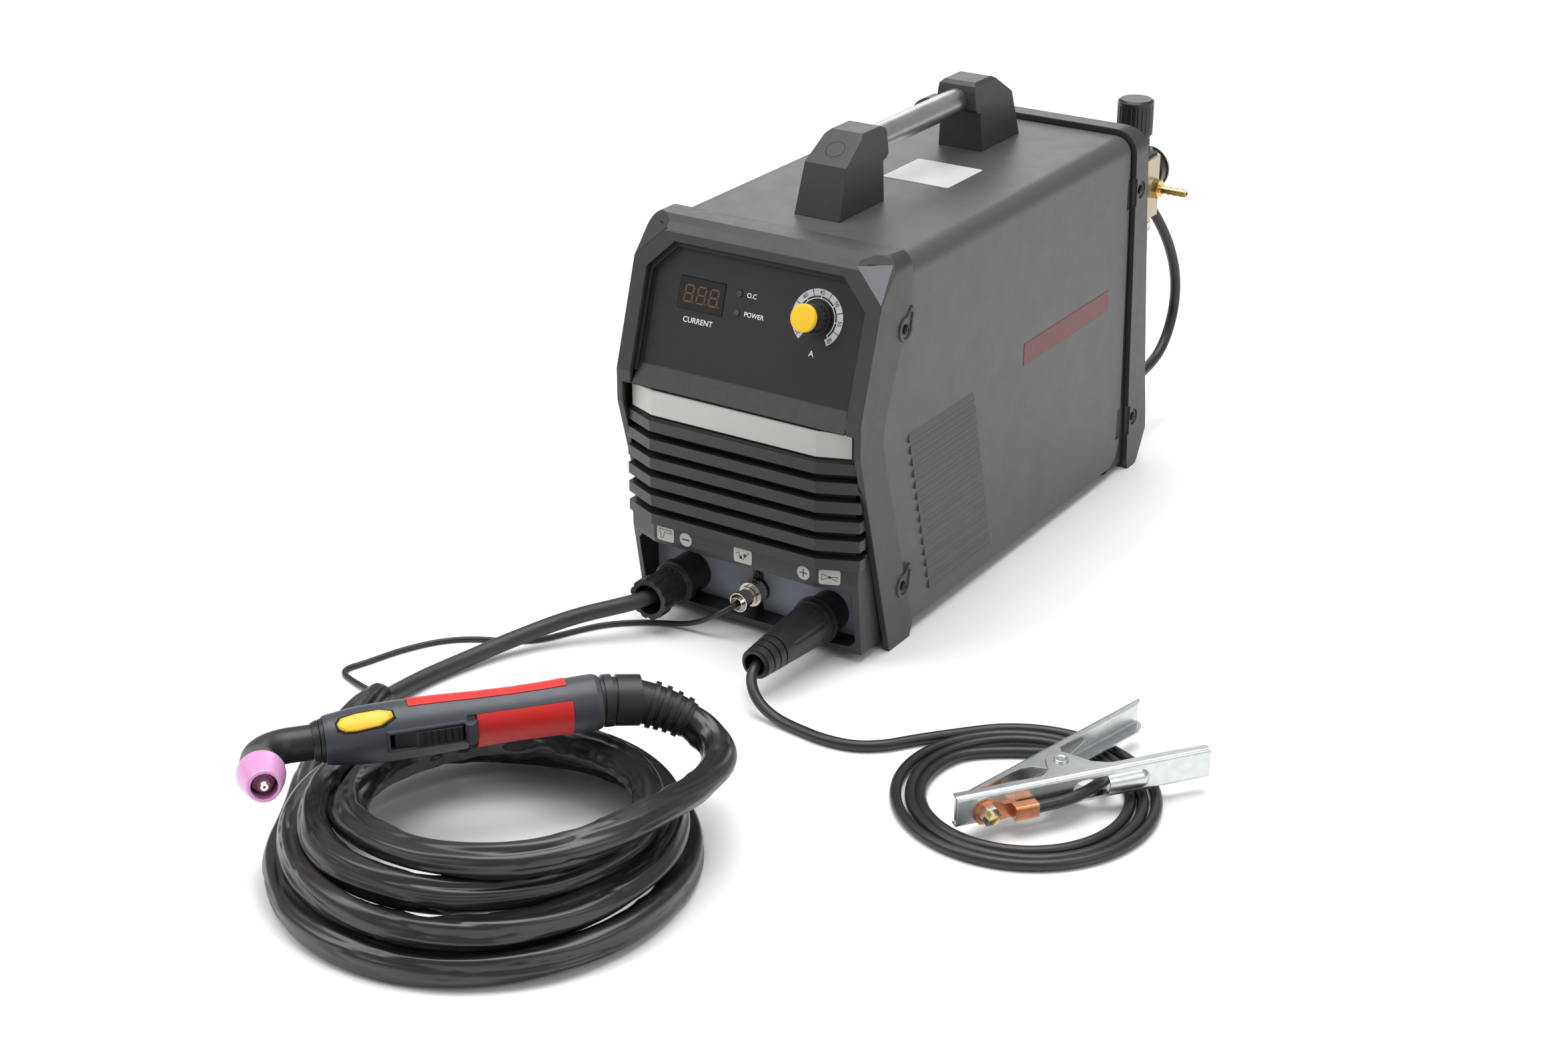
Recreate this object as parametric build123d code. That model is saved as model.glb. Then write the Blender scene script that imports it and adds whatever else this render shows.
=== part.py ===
from build123d import *
import os
from math import sin, cos, tan, radians, pi, atan2, sqrt, degrees, hypot

os.makedirs("parts", exist_ok=True)

# Plasma cutter unit: inverter power source with a torch on a sleeved lead, an
# earth lead with a spring clamp, and a filter regulator on its rear panel.
# Millimetres.  The origin is on the floor under the middle of the case,
# +X is the right-hand side, -Y is the front, +Z is up.

# ---------------------------------------------------------------- dimensions
CASE_HALF = 110.5      # outside half width of the sheet cover
CASE_TOP = 322.5       # top of the sheet cover
CASE_BOT = 11.5        # lower edge of the sheet cover
COVER_T = 1.5
COVER_R = 15.0
BEZ_HALF = 113.0       # front bezel half width
BEZ_TOP = 330.0
REAR_HALF = 114.0      # rear bezel half width
REAR_TOP = 327.0
FRONT_Y = -256.8       # foremost line of the bezel side
PAN_Z0 = 211.0         # where the front face starts to lean back
PAN_DY, PAN_DZ = 27.6, 86.0
SOCK_Z = 31.0          # height of the three front sockets
SOCK_Y = -222.0        # recessed connector plate, outer face
TORCH_X, TRIG_X, EARTH_X = -66.0, -2.0, 67.0
HANDLE_R = 11.0
HANDLE_Z = 366.0
REG_X, REG_Y = 77.0, 277.0
HOSE_D = 13.0          # bare rubber gas and power hose of the torch
SLEEVE_D = 23.0        # torch lead inside its leatherette sleeve
TRIG_D = 4.4           # trigger cable
EARTH_D = 8.5          # earth cable
AIR_D = 10.0           # air hose behind the case

parts = {}


# ------------------------------------------------------------------- helpers
def bx(x0, x1, y0, y1, z0, z1):
    return Pos((x0 + x1) / 2, (y0 + y1) / 2, (z0 + z1) / 2) * Box(x1 - x0, y1 - y0, z1 - z0)


def cyl(p, d, r, h):
    return Plane(origin=p, z_dir=d) * Cylinder(r, h, align=(Align.CENTER, Align.CENTER, Align.MIN))


def cone(p, d, r0, r1, h):
    return Plane(origin=p, z_dir=d) * Cone(r0, r1, h, align=(Align.CENTER, Align.CENTER, Align.MIN))


def ring(p, d, r1, r0, h):
    return cyl(p, d, r1, h) - cyl(tuple(a - b for a, b in zip(p, d)), d, r0, h + 2)


def prism_yz(pts, x0, x1):
    pl = Plane(origin=(x0, 0, 0), x_dir=(0, 1, 0), z_dir=(1, 0, 0))
    return extrude(pl * Polygon(*pts, align=None), amount=x1 - x0, dir=(1, 0, 0))


def prism_xz(pts, y0, y1):
    pl = Plane(origin=(0, y1, 0), x_dir=(1, 0, 0), z_dir=(0, -1, 0))
    return extrude(pl * Polygon(*pts, align=None), amount=y1 - y0, dir=(0, -1, 0))


def prism_xy(pts, z0, z1):
    pl = Plane(origin=(0, 0, z0), x_dir=(1, 0, 0), z_dir=(0, 0, 1))
    return extrude(pl * Polygon(*pts, align=None), amount=z1 - z0, dir=(0, 0, 1))


def arch(half, top, r, y0, y1, bot=-40.0, rb=0.0):
    # upright rounded rectangle, extruded along Y
    n = 7
    pts = []
    for i in range(n + 1):
        a = radians(90 * i / n)
        pts.append((half - r + r * cos(a), top - r + r * sin(a)))
    for i in range(n + 1):
        a = radians(90 + 90 * i / n)
        pts.append((-half + r + r * cos(a), top - r + r * sin(a)))
    if rb:
        for i in range(n + 1):
            a = radians(180 + 90 * i / n)
            pts.append((-half + rb + rb * cos(a), bot + rb + rb * sin(a)))
        for i in range(n + 1):
            a = radians(270 + 90 * i / n)
            pts.append((half - rb + rb * cos(a), bot + rb + rb * sin(a)))
    else:
        pts += [(-half, bot), (half, bot)]
    return prism_xz(pts, y0, y1)


def arch_smooth(half, top, r, y0, y1, bot=-40.0):
    # the same outline with true round corners
    b = bx(-half, half, y0, y1, bot, top)
    es = b.edges().filter_by(Axis.Y).sort_by(Axis.Z)[-2:]
    return fillet(es, r)


def mirror_x(s):
    return mirror(s, about=Plane.YZ)


def both(s):
    return s + mirror_x(s)


def half_space(p, n, size=400):
    # a big block whose face lies through p, on the side n points to
    return Plane(origin=p, z_dir=n) * Box(size, size, size, align=(Align.CENTER, Align.CENTER, Align.MIN))


def solids_of(*ss):
    out = []
    for s in ss:
        out += list(s.solids())
    return Compound(children=out) if len(out) > 1 else out[0]


def put(name, s):
    parts[name] = s


def side_screw(x, y, z, r=3.9):
    # pan head cross recess screw pointing into the case side
    sgn = 1 if x > 0 else -1
    head = cyl((x, y, z), (sgn, 0, 0), r, 1.3) + cone((x + sgn * 1.3, y, z), (sgn, 0, 0), r, r * 0.62, 0.9)
    rec = bx(-1.5, 1.5, -0.45, 0.45, -2.3, 2.3) + bx(-1.5, 1.5, -2.3, 2.3, -0.45, 0.45)
    head -= Pos(x + sgn * 2.2, y, z) * rec
    shank = cyl((x - sgn * 7.5, y, z), (sgn, 0, 0), 1.9, 7.5)
    return head + shank


SCREWS_FRONT = [(-192.8, 269.0), (-188.2, 50.5)]
SCREWS_REAR = [(218.2, 271.5), (231.5, 50.5)]

# ------------------------------------------------------------- front bezel
prof = [(-207.5, 0), (-257, 184), (FRONT_Y, PAN_Z0), (-229.2, 297), (-222, 320), (-217.5, 326.5),
        (-209, BEZ_TOP), (-184, 328.6), (-183, 300), (-184.5, 287), (-220, 204), (-223, 188),
        (-216, 158), (-171.5, 12), (-176, 0)]
bez = prism_yz(prof, -BEZ_HALF, BEZ_HALF) & arch_smooth(BEZ_HALF, BEZ_TOP, 14.0, -300, -100)
inner = prism_yz([(-203, -5), (-253, 184), (-252.8, 211), (-225.2, 297), (-216.5, 323.3),
                  (-150, 323.3), (-150, -5)], -110.9, 110.9)
inner = inner & arch_smooth(110.9, 323.3, 15.4, -300, -100)
bez -= inner
opening = [(-107.6, -5), (107.6, -5), (107.6, 201), (100, 201), (100, 291.5), (77.5, 313.5),
           (-77.5, 313.5), (-100, 291.5), (-100, 201), (-107.6, 201)]
bez -= prism_xz(opening, -300, -195)
# flat facet on both upper front corners
A, B, C = Vector(85.5, -221.3, 323.0), Vector(110.0, -206.0, 324.2), Vector(113.0, -229.2, 297.2)
nrm = (B - A).cross(C - A).normalized()
if nrm.Y > 0:
    nrm = nrm * -1
fac = half_space(tuple(A), tuple(nrm), 60)
bez -= fac
bez -= mirror_x(fac)
# raised screw eyes on the bezel sides
for (y, z) in SCREWS_FRONT:
    eye = cyl((112.5, y, z), (1, 0, 0), 10.0, 1.7)
    tail = prism_yz([(y - 10, z), (y + 9, z + 17), (y + 13, z + 14), (y + 8, z - 6)], 112.5, 114.2)
    dish = cyl((113.2, y, z), (1, 0, 0), 7.2, 3) + prism_yz([(y - 7.0, z), (y + 6.5, z + 13), (y + 9.5, z + 11), (y + 6, z - 4)], 113.2, 116)
    one = eye + tail
    bez += both(one)
    bez -= both(dish)
    bez -= both(cyl((100, y, z), (1, 0, 0), 2.25, 20))
put("front_bezel", bez)

# -------------------------------------------------- front grille and bay frame
up_out = [(-109.3, -249.5), (-77.5, -263.8), (77.5, -263.8), (109.3, -249.5), (109.3, -241), (107.2, -239),
          (107.2, -200), (-107.2, -200), (-107.2, -239), (-109.3, -241)]
up_in = [(-107.2, -248.0), (-77, -261.2), (77, -261.2), (107.2, -248.0), (107.2, -200), (-107.2, -200)]
core = [(-101.0, -242.5), (-76, -252.5), (76, -252.5), (101.0, -242.5), (101.0, -200), (-101.0, -200)]
g = prism_xy(up_out, 86.6, 176.6) + prism_xy(up_in, 74, 88)
g += prism_xy([(-104.5, -248.5), (-77, -258.6), (77, -258.6), (104.5, -248.5), (104.5, -200), (-104.5, -200)], 176, 200.4)
g += prism_xy(up_in, 176.0, 178.2)
bands = [(160.6, 167.4), (144.4, 151.2), (128.2, 135.0), (112.0, 118.8), (95.6, 102.6)]
for (a, b) in bands:
    g -= prism_xy([(-130, -300), (130, -300), (130, -232), (101.0, -232), (101.0, -242.5), (76, -252.5),
                   (-76, -252.5), (-101.0, -242.5), (-101.0, -232), (-130, -232)], a, b)
# lower part leans back towards its foot
pl_t = Plane(origin=(0, 0, 74)) * Polygon((-107.2, -248.0), (-77, -261.2), (77, -261.2), (107.2, -248.0), (107.2, -200), (-107.2, -200), align=None)
pl_b = Plane(origin=(0, 0, 8)) * Polygon((-105.4, -238.4), (-77, -240.2), (77, -240.2), (105.4, -238.4), (105.4, -200), (-105.4, -200), align=None)
low = loft([pl_b, pl_t], ruled=True)
bay = [(-101, 20), (-95, 13.6), (95, 13.6), (101, 20), (101, 63), (95, 69.2), (-95, 69.2), (-101, 63)]
low -= prism_xz(bay, -300, -150)
low -= bx(-103, 103, -222.4, -150, 12.4, 70.4)
g += low
# hollow back, air slots through the groove floors
g -= prism_xy([(-103.5, -240), (-76, -248.5), (76, -248.5), (103.5, -240), (103.5, -150), (-103.5, -150)], 75.5, 197.5)
for (a, b) in bands:
    for k in range(4):
        x0 = -72 + k * 37.0
        g -= bx(x0, x0 + 33, -256, -240, (a + b) / 2 - 2.1, (a + b) / 2 + 2.1)
g -= both(prism_yz([(-207.8, 1.0), (-257.9, 184.4), (-257.8, 215), (-180, 215), (-180, 1.0)], 107.25, 125))
put("front_grille", g)

# connector plate held in the pocket behind the bay
plate = bx(-102.7, 102.7, SOCK_Y, SOCK_Y + 2.5, 12.7, 70.1)
plate -= cyl((TORCH_X, -230, SOCK_Z), (0, 1, 0), 15.2, 20)
plate -= cyl((EARTH_X, -230, SOCK_Z), (0, 1, 0), 15.2, 20)
plate -= cyl((TRIG_X, -230, SOCK_Z), (0, 1, 0), 8.2, 20)
for dz in (-13.8, 13.8):
    plate -= cyl((TRIG_X, -230, SOCK_Z + dz), (0, 1, 0), 1.7, 20)
put("connector_plate", plate)

# trim strip in three flats under the control panel
strip = prism_xy([(-102.3, -251.3), (-76.6, -261.6), (76.6, -261.6), (102.3, -251.3), (102.3, -249.4), (76.9, -258.8),
                  (-76.9, -258.8), (-102.3, -249.4)], 180.6, 200.6)
put("trim_strip", strip)

# ----------------------------------------------------------- control panel
ang = atan2(PAN_DY, PAN_DZ)
PN = (0, -cos(ang), sin(ang))          # out of the panel
PV = (0, sin(ang), cos(ang))           # up the panel
PP = Plane(origin=(0, FRONT_Y, PAN_Z0), x_dir=(1, 0, 0), z_dir=PN)


def on_panel(x, z, off):
    # point on the panel at width x and height z, off mm behind the front face
    return (x, FRONT_Y + (z - PAN_Z0) * tan(ang) + off, z)


def octo(inset, v0, v1=107.5):
    a = 100 - inset
    vs = 84.5
    return [(-a, v0), (a, v0), (a, vs - inset * 0.4), (77.5 - inset * 0.4, v1 - inset), (-77.5 + inset * 0.4, v1 - inset), (-a, vs - inset * 0.4)]


def panel_prism(pts, d0, d1):
    pl = PP.offset(-d0)
    return extrude(pl * Polygon(*pts, align=None), amount=d1 - d0, dir=tuple(-c for c in PN))


tray = panel_prism(octo(-5.5, 2, 108.5), 4.4, 6.2) + panel_prism(octo(0.5, 2), 6.0, 12.0)
tray -= panel_prism(octo(3.2, -30), -5, 9.0)
tray += prism_yz([(-257.2, 201.0), (-250.0, 201.0), (-243, 216.5), (-246.6, 215.8)], -98.6, 98.6)
tray -= bx(-200, 200, -262, -200, 190, 200.9)
KX, KZ = 55.0, 279.5
tray -= cyl(on_panel(KX, KZ, 0), tuple(-c for c in PN), 5.0, 30)
tray -= panel_prism([(-72, 57), (-29.5, 57), (-29.5, 82.5), (-72, 82.5)], 5, 30)
for (x, z) in ((-16.5, 285.0), (-16.5, 271.0)):
    tray -= cyl(on_panel(x, z, 0), tuple(-c for c in PN), 2.7, 30)
put("control_panel", tray)

win = panel_prism([(-71.7, 57.3), (-29.8, 57.3), (-29.8, 82.2), (-71.7, 82.2)], 8.6, 11.6)
put("display_window", win)
leds = []
for (x, z) in ((-16.5, 285.0), (-16.5, 271.0)):
    p = tuple(a - b * 12.6 for a, b in zip(on_panel(x, z, 0), PN))
    leds.append(cyl(p, PN, 2.55, 4.4))
put("indicator_lenses", solids_of(*leds))

board = panel_prism([(-88, 20), (88, 20), (88, 96), (-88, 96)], 18, 19.6)
disp = panel_prism([(-70, 58.5), (-31.5, 58.5), (-31.5, 81), (-70, 81)], 12.2, 17.9)
pot = cyl(on_panel(KX, KZ, 0), tuple(-c for c in PN), 8.5, 9)
pk = on_panel(KX, KZ, 0)
potp = tuple(a - b * 13.0 for a, b in zip(pk, PN))
pot = cyl(potp, tuple(-c for c in PN), 8.5, 5.0)
pot += cyl(tuple(a + b * 0.0 for a, b in zip(potp, PN)), PN, 4.6, 3.6)
pot += cyl(tuple(a + b * 3.6 for a, b in zip(potp, PN)), PN, 3.0, 12.0)
put("control_board", solids_of(board, disp, pot))

# current knob, a skirt with grip ribs and a flat cap
kp = tuple(a - b * 8.4 for a, b in zip(pk, PN))
knob = cyl(kp, PN, 13.0, 2.6) + cone(tuple(a + b * 2.6 for a, b in zip(kp, PN)), PN, 11.6, 10.6, 15.0)
for i in range(18):
    a = radians(20 * i)
    loc = Plane(origin=kp, x_dir=(1, 0, 0), z_dir=PN)
    knob -= loc * (Pos(11.9 * cos(a), 11.9 * sin(a), 3.2) * Cylinder(0.95, 14.0, align=(Align.CENTER, Align.CENTER, Align.MIN)))
knob += cyl(tuple(a + b * 17.6 for a, b in zip(kp, PN)), PN, 10.2, 2.6)
knob -= cyl(tuple(a - b * 1 for a, b in zip(kp, PN)), PN, 3.08, 12.6)
put("current_knob", knob)

# ------------------------------------------------------------- sheet cover
cov = arch_smooth(CASE_HALF, CASE_TOP, COVER_R, -240, 225, CASE_BOT)
cov -= arch_smooth(CASE_HALF - COVER_T, CASE_TOP - COVER_T, COVER_R - COVER_T, -260, 245, -40)
side = [(-184, CASE_BOT), (-226, 160), (-231.5, 188), (-228.5, 206), (-197, 288), (-195, 330),
        (198.5, 330), (203.5, 240), (209, 80), (210, 30), (205, 18), (194, CASE_BOT)]
cov = cov & prism_yz(side, -130, 130)
cov -= both(bx(105, 115, 198, 225, 257, 285) + bx(105, 115, 203, 225, 36, 66))
LV_Z0, LV_P, LV_N = 29.5, 10.9, 14
for i in range(LV_N):
    z = LV_Z0 + LV_P * i
    y0 = -143.5 - 2.9 * i
    hood = prism_yz([(y0, z), (y0 + 2, z - 1), (y0 + 104, z - 1), (y0 + 106, z), (y0 + 104.5, z + 7.2), (y0 + 1.5, z + 7.2)], 109.2, 113.0)
    hood &= Pos(110.5, 0, z + 7.2) * (Rot(0, 0, 0) * prism_xz([(-1.4, -9.0), (2.2, -8.2), (1.9, -6.6), (0.0, 0.2), (-1.4, 0.2)], -400, 200))
    cov += both(hood)
    cov -= both(bx(104, 110.0, y0 + 3, y0 + 103, z - 0.6, z + 3.4) + bx(108, 112.1, y0 + 3, y0 + 103, z - 1.2, z + 1.2))
for (y, z) in SCREWS_FRONT:
    cov -= both(cyl((100, y, z), (1, 0, 0), 2.25, 20))
put("case_cover", cov)

# ------------------------------------------------------- base, rear panel
base = bx(-107.0, 107.0, -198.0, 190.0, 9.0, 10.6)
base += both(bx(105.6, 107.2, -198, 190, 9.0, 24.0))
for k in range(6):
    base -= bx(-60, 60, -150 + 40 * k, -144 + 40 * k, 5, 15)
base += bx(-98, 98, -190, 182, 0, 9.2) - bx(-96.4, 96.4, -188.4, 180.4, -1, 10)
put("base_plate", base)

rp = arch(108.7, 320.6, 13.0, 192.0, 225.0, 3.5, 6.0)
rp -= arch(107.2, 319.1, 11.5, 150.0, 223.3, 5.0, 4.5)
FAN_X, FAN_Z, FAN_R = -40.0, 190.0, 58.0
for i in range(9):
    zz = FAN_Z - 48 + 12 * i
    hw = sqrt(max(FAN_R ** 2 - (zz - FAN_Z) ** 2, 100)) - 3
    rp -= bx(FAN_X - hw, FAN_X + hw, 215, 230, zz - 3.4, zz + 3.4)
rp -= bx(-93.2, -66.8, 215, 230, 48.0, 74.0)                              # switch cut-out
rp -= cyl((-20, 215, 60), (0, 1, 0), 10.1, 20)                         # mains gland
GAS_X, GAS_Z = 73.0, 52.0
rp -= cyl((GAS_X, 215, GAS_Z), (0, 1, 0), 6.6, 20)                     # gas inlet
for dx in (-11, 11):
    rp -= cyl((REG_X + dx, 215, 250), (0, 1, 0), 2.2, 20)
for (y, z) in SCREWS_REAR:
    rp -= both(cyl((100, y, z), (1, 0, 0), 2.25, 20))
put("rear_panel", rp)

rprof = [(203.5, REAR_TOP), (206, 289), (208, 258), (217, 98), (221, 37), (222.5, 9), (226, 0), (240, 0),
         (246, 6), (259.5, 30), (258, 48), (252, 86), (234, 245), (229, 302), (226.5, 320), (221, REAR_TOP)]
rb = prism_yz(rprof, -REAR_HALF, REAR_HALF)
rb = rb & arch_smooth(REAR_HALF, REAR_TOP, 21.0, 150, 300)
rb -= arch(109.2, 321.2, 13.6, 150, 225.4, 3.0, 6.0)
rb -= arch(101.0, 313.0, 13.0, 150, 300, 16.0, 8.0)
rb -= both(bx(111.6, 120, 195, 209.5, 258, 284) + bx(111.6, 120, 210, 223.5, 36, 64))
for (y, z) in SCREWS_REAR:
    rb -= both(cyl((112.8, y, z), (1, 0, 0), 7.6, 3))
    rb -= both(cyl((100, y, z), (1, 0, 0), 2.25, 20))
put("rear_bezel", rb)

sc = []
for (y, z) in SCREWS_FRONT:
    for s in (1, -1):
        sc.append(side_screw(s * 113.25, y, z))
for (y, z) in SCREWS_REAR:
    for s in (1, -1):
        sc.append(side_screw(s * 112.85, y, z))
put("case_screws", solids_of(*sc))

# ------------------------------------------------------------------ handle
hp = [(-139.5, CASE_TOP), (-127.0, 363.0), (-99.0, 381.0), (-95.0, 382.5), (-68.0, 382.5), (-63.5, 380.0), (-62.5, 375.0),
      (-62.5, 360.0), (-66.0, 356.8), (-71.0, 355.5), (-71.5, CASE_TOP)]
blk = prism_yz(hp, -21, 21)
blk = blk & prism_xz([(-21, CASE_TOP), (21, CASE_TOP), (19.2, 362), (17.2, 379.5), (14.5, 382.6), (-14.5, 382.6), (-17.2, 379.5), (-19.2, 362)], -200, 0)
cap_n = Vector(0, -18.0, 28.0).normalized()
cap_c = Vector(0, -113.0, 372.0)
blk -= cyl(tuple(cap_c - cap_n * 2.0), tuple(cap_n), 8.2, 10)
tube = cyl((0, -90, HANDLE_Z), (0, 1, 0), HANDLE_R, 200) - cyl((0, -91, HANDLE_Z), (0, 1, 0), HANDLE_R - 1.6, 202)
blk -= cyl((0, -90.0, HANDLE_Z), (0, 1, 0), HANDLE_R + 0.02, 100)
cap1 = cyl(tuple(cap_c - cap_n * 2.0), tuple(cap_n), 7.9, 2.0)
HM = 10.0
mirror_pl = Plane(origin=(0, HM, 0), z_dir=(0, 1, 0))
blk += cap1
put("handle_blocks", solids_of(blk, mirror(blk, about=mirror_pl)))
put("handle_tube", tube)

# ---------------------------------------------------------- front connectors
def socket(x):
    s = cyl((x, SOCK_Y, SOCK_Z), (0, -1, 0), 17.0, 21.0) + cyl((x, SOCK_Y - 0.5, SOCK_Z), (0, 1, 0), 15.0, 24.0)
    s -= cyl((x, SOCK_Y - 22, SOCK_Z), (0, 1, 0), 12.0, 32.0)
    s += cyl((x, SOCK_Y + 8, SOCK_Z), (0, 1, 0), 4.0, 22.0)
    return s


put("lead_sockets", solids_of(socket(TORCH_X), socket(EARTH_X)))
ts = cyl((TRIG_X, SOCK_Y, SOCK_Z), (0, -1, 0), 10.6, 3.0)
ts += bx(TRIG_X - 4.4, TRIG_X + 4.4, SOCK_Y - 1.6, SOCK_Y, SOCK_Z - 17.2, SOCK_Z + 17.2)
ts += cyl((TRIG_X, SOCK_Y - 0.5, SOCK_Z), (0, 1, 0), 8.0, 18.0)
ts += cyl((TRIG_X, SOCK_Y, SOCK_Z), (0, -1, 0), 7.6, 7.0)
ts -= cyl((TRIG_X, SOCK_Y - 8, SOCK_Z), (0, 1, 0), 6.6, 12.0)
tss = []
for dz in (-13.8, 13.8):
    ts -= cyl((TRIG_X, SOCK_Y - 5, SOCK_Z + dz), (0, 1, 0), 1.7, 20)
    sw = cyl((TRIG_X, SOCK_Y - 1.6, SOCK_Z + dz), (0, -1, 0), 2.7, 1.6) + cyl((TRIG_X, SOCK_Y - 1.8, SOCK_Z + dz), (0, 1, 0), 1.5, 8)
    sw -= Pos(TRIG_X, SOCK_Y - 3.2, SOCK_Z + dz) * (Box(3.6, 1.6, 0.7) + Box(0.7, 1.6, 3.6))
    tss.append(sw)
put("trigger_socket", solids_of(ts, *tss))

# torch plug: collar, fluted union nut, brass gland tube
FY = SOCK_Y - 21.0
tc = cyl((TORCH_X, FY, SOCK_Z), (0, -1, 0), 18.6, 8.0) + cone((TORCH_X, FY - 8, SOCK_Z), (0, -1, 0), 17.4, 15.5, 4.0)
tc += cyl((TORCH_X, FY - 0.5, SOCK_Z), (0, 1, 0), 11.7, 10.0)
tc -= cyl((TORCH_X, FY + 7, SOCK_Z), (0, -1, 0), 7.5, 40)
ny = FY - 12.0
nut = cyl((TORCH_X, ny, SOCK_Z), (0, -1, 0), 15.6, 32.0)
nut += cone((TORCH_X, ny - 16.0, SOCK_Z), (0, -1, 0), 15.6, 17.4, 5.0) + cyl((TORCH_X, ny - 21, SOCK_Z), (0, -1, 0), 17.4, 11.0)
nut -= cyl((TORCH_X, ny + 1, SOCK_Z), (0, -1, 0), 12.6, 60)
for i in range(12):
    a = radians(30 * i)
    nut -= cyl((TORCH_X + 18.6 * cos(a), ny - 18, SOCK_Z + 18.6 * sin(a)), (0, -1, 0), 2.6, 20)
for i in range(16):
    a = radians(22.5 * i)
    nut -= cyl((TORCH_X + 16.4 * cos(a), ny - 2, SOCK_Z + 16.4 * sin(a)), (0, -1, 0), 1.3, 12)
put("torch_plug", tc + nut)
gl = cyl((TORCH_X, FY - 2, SOCK_Z), (0, -1, 0), 7.4, 14.0) + cyl((TORCH_X, ny - 0.02, SOCK_Z), (0, -1, 0), 12.5, 12.0)
gl -= cyl((TORCH_X, FY, SOCK_Z), (0, -1, 0), HOSE_D / 2 + 0.02, 50)
gl -= cyl((TORCH_X, FY - 16.5, SOCK_Z), (0, -1, 0), 8.6, 50)
put("torch_plug_gland", gl)

# trigger plug: knurled union nut, insulator and clamp nut, with a recess for the cable
tpn = cyl((TRIG_X, SOCK_Y - 3.2, SOCK_Z), (0, -1, 0), 10.4, 9.6)
tpn -= cyl((TRIG_X, SOCK_Y - 2, SOCK_Z), (0, -1, 0), 7.75, 6.5)
for i in range(20):
    a = radians(18 * i)
    tpn -= cyl((TRIG_X + 10.9 * cos(a), SOCK_Y - 5.5, SOCK_Z + 10.9 * sin(a)), (0, -1, 0), 0.9, 5.5)
tpn += cyl((TRIG_X, SOCK_Y - 12.6, SOCK_Z), (0, -1, 0), 8.4, 4.5)
tpn += cyl((TRIG_X, SOCK_Y - 17.0, SOCK_Z), (0, -1, 0), 7.2, 8.0)
tpn += cyl((TRIG_X, SOCK_Y - 24.8, SOCK_Z), (0, -1, 0), 8.2, 5.2) + cone((TRIG_X, SOCK_Y - 30.0, SOCK_Z), (0, -1, 0), 7.4, 5.6, 3.4)
tpn -= cyl((TRIG_X, SOCK_Y - 26.0, SOCK_Z), (0, -1, 0), 5.2, 20)
put("trigger_plug", tpn)

# earth plug: metal rimmed collar and a tapered rubber sleeve with ribs
ey = FY
ep = cyl((EARTH_X, ey, SOCK_Z), (0, -1, 0), 20.2, 3.0) + cyl((EARTH_X, ey - 3.0, SOCK_Z), (0, -1, 0), 19.0, 6.0)
ep += cone((EARTH_X, ey - 9.0, SOCK_Z), (0, -1, 0), 18.2, 14.6, 49.0)
yy = ey - 58.0
for i, rr in enumerate((14.8, 14.2, 13.6, 13.0)):
    ep += cone((EARTH_X, yy - 8.0 * i, SOCK_Z), (0, -1, 0), rr, rr - 0.6, 6.4)
    ep += cyl((EARTH_X, yy - 8.0 * i - 6.0, SOCK_Z), (0, -1, 0), rr - 1.9, 2.2)
for i in range(8):
    a = radians(45 * i + 22.5)
    px_, pz_ = EARTH_X + 21.4 * cos(a), SOCK_Z + 21.4 * sin(a)
    ep -= cone((px_, ey - 16, pz_), (-0.07 * cos(a), -1, -0.07 * sin(a)), 4.6, 4.2, 38)
ep += cyl((EARTH_X, ey - 0.5, SOCK_Z), (0, 1, 0), 11.7, 10.0)
ep -= cyl((EARTH_X, ey + 12, SOCK_Z), (0, -1, 0), 4.3, 40)
ep -= cyl((EARTH_X, -321.0, SOCK_Z), (0, -1, 0), 9.0, 30)
put("earth_plug", ep)

# ------------------------------------------------------------- rear fittings
SW = (-80.0, 220.5, 61.0)              # rocker pivot
sb = bx(-93.0, -67.0, 203.0, 226.0, 48.2, 73.8) + bx(-95.5, -64.5, 225.0, 227.0, 45.6, 76.4)
sb -= bx(-91.15, -68.85, 211.0, 230.0, 50.4, 71.6)
sb -= cyl((-92.5, SW[1], SW[2]), (1, 0, 0), 1.56, 25.0)
sb += bx(-88, -72, 193, 203.5, 55, 67)
put("power_switch_body", sb)
rk_pts = [(-5, -2.5), (-5, 2.5), (0, 9.0), (6.5, 9.3), (4.4, 0), (6.5, -9.3), (0, -9.0)]
ra = radians(-12)
rk = prism_yz([(SW[1] + u * cos(ra) - w * sin(ra), SW[2] + u * sin(ra) + w * cos(ra)) for (u, w) in rk_pts], -91.0, -69.0)
rk += cyl((-92.3, SW[1], SW[2]), (1, 0, 0), 1.5, 24.6)
put("power_rocker", rk)

mg = cyl((-20, 217.0, 60), (0, 1, 0), 10.0, 10.0) + cyl((-20, 225.0, 60), (0, 1, 0), 12.6, 5.0)
mg += cyl((-20, 229.5, 60), (0, 1, 0), 10.6, 8.0) + cone((-20, 237.0, 60), (0, 1, 0), 10.6, 7.6, 6.0)
for i in range(6):
    a = radians(60 * i + 30)
    mg -= Plane(origin=(-20 + 11.4 * cos(a), 227.6, 60 + 11.4 * sin(a)), x_dir=(-sin(a), 0, cos(a)), z_dir=(cos(a), 0, sin(a))) * (Pos(0, 0, 3) * Box(30, 5.4, 6))
mg += cyl((-20, 219.8, 60), (0, 1, 0), 12.4, 3.4)
mg -= cyl((-20, 200, 60), (0, 1, 0), 4.6, 60)
put("mains_gland", mg)

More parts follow.
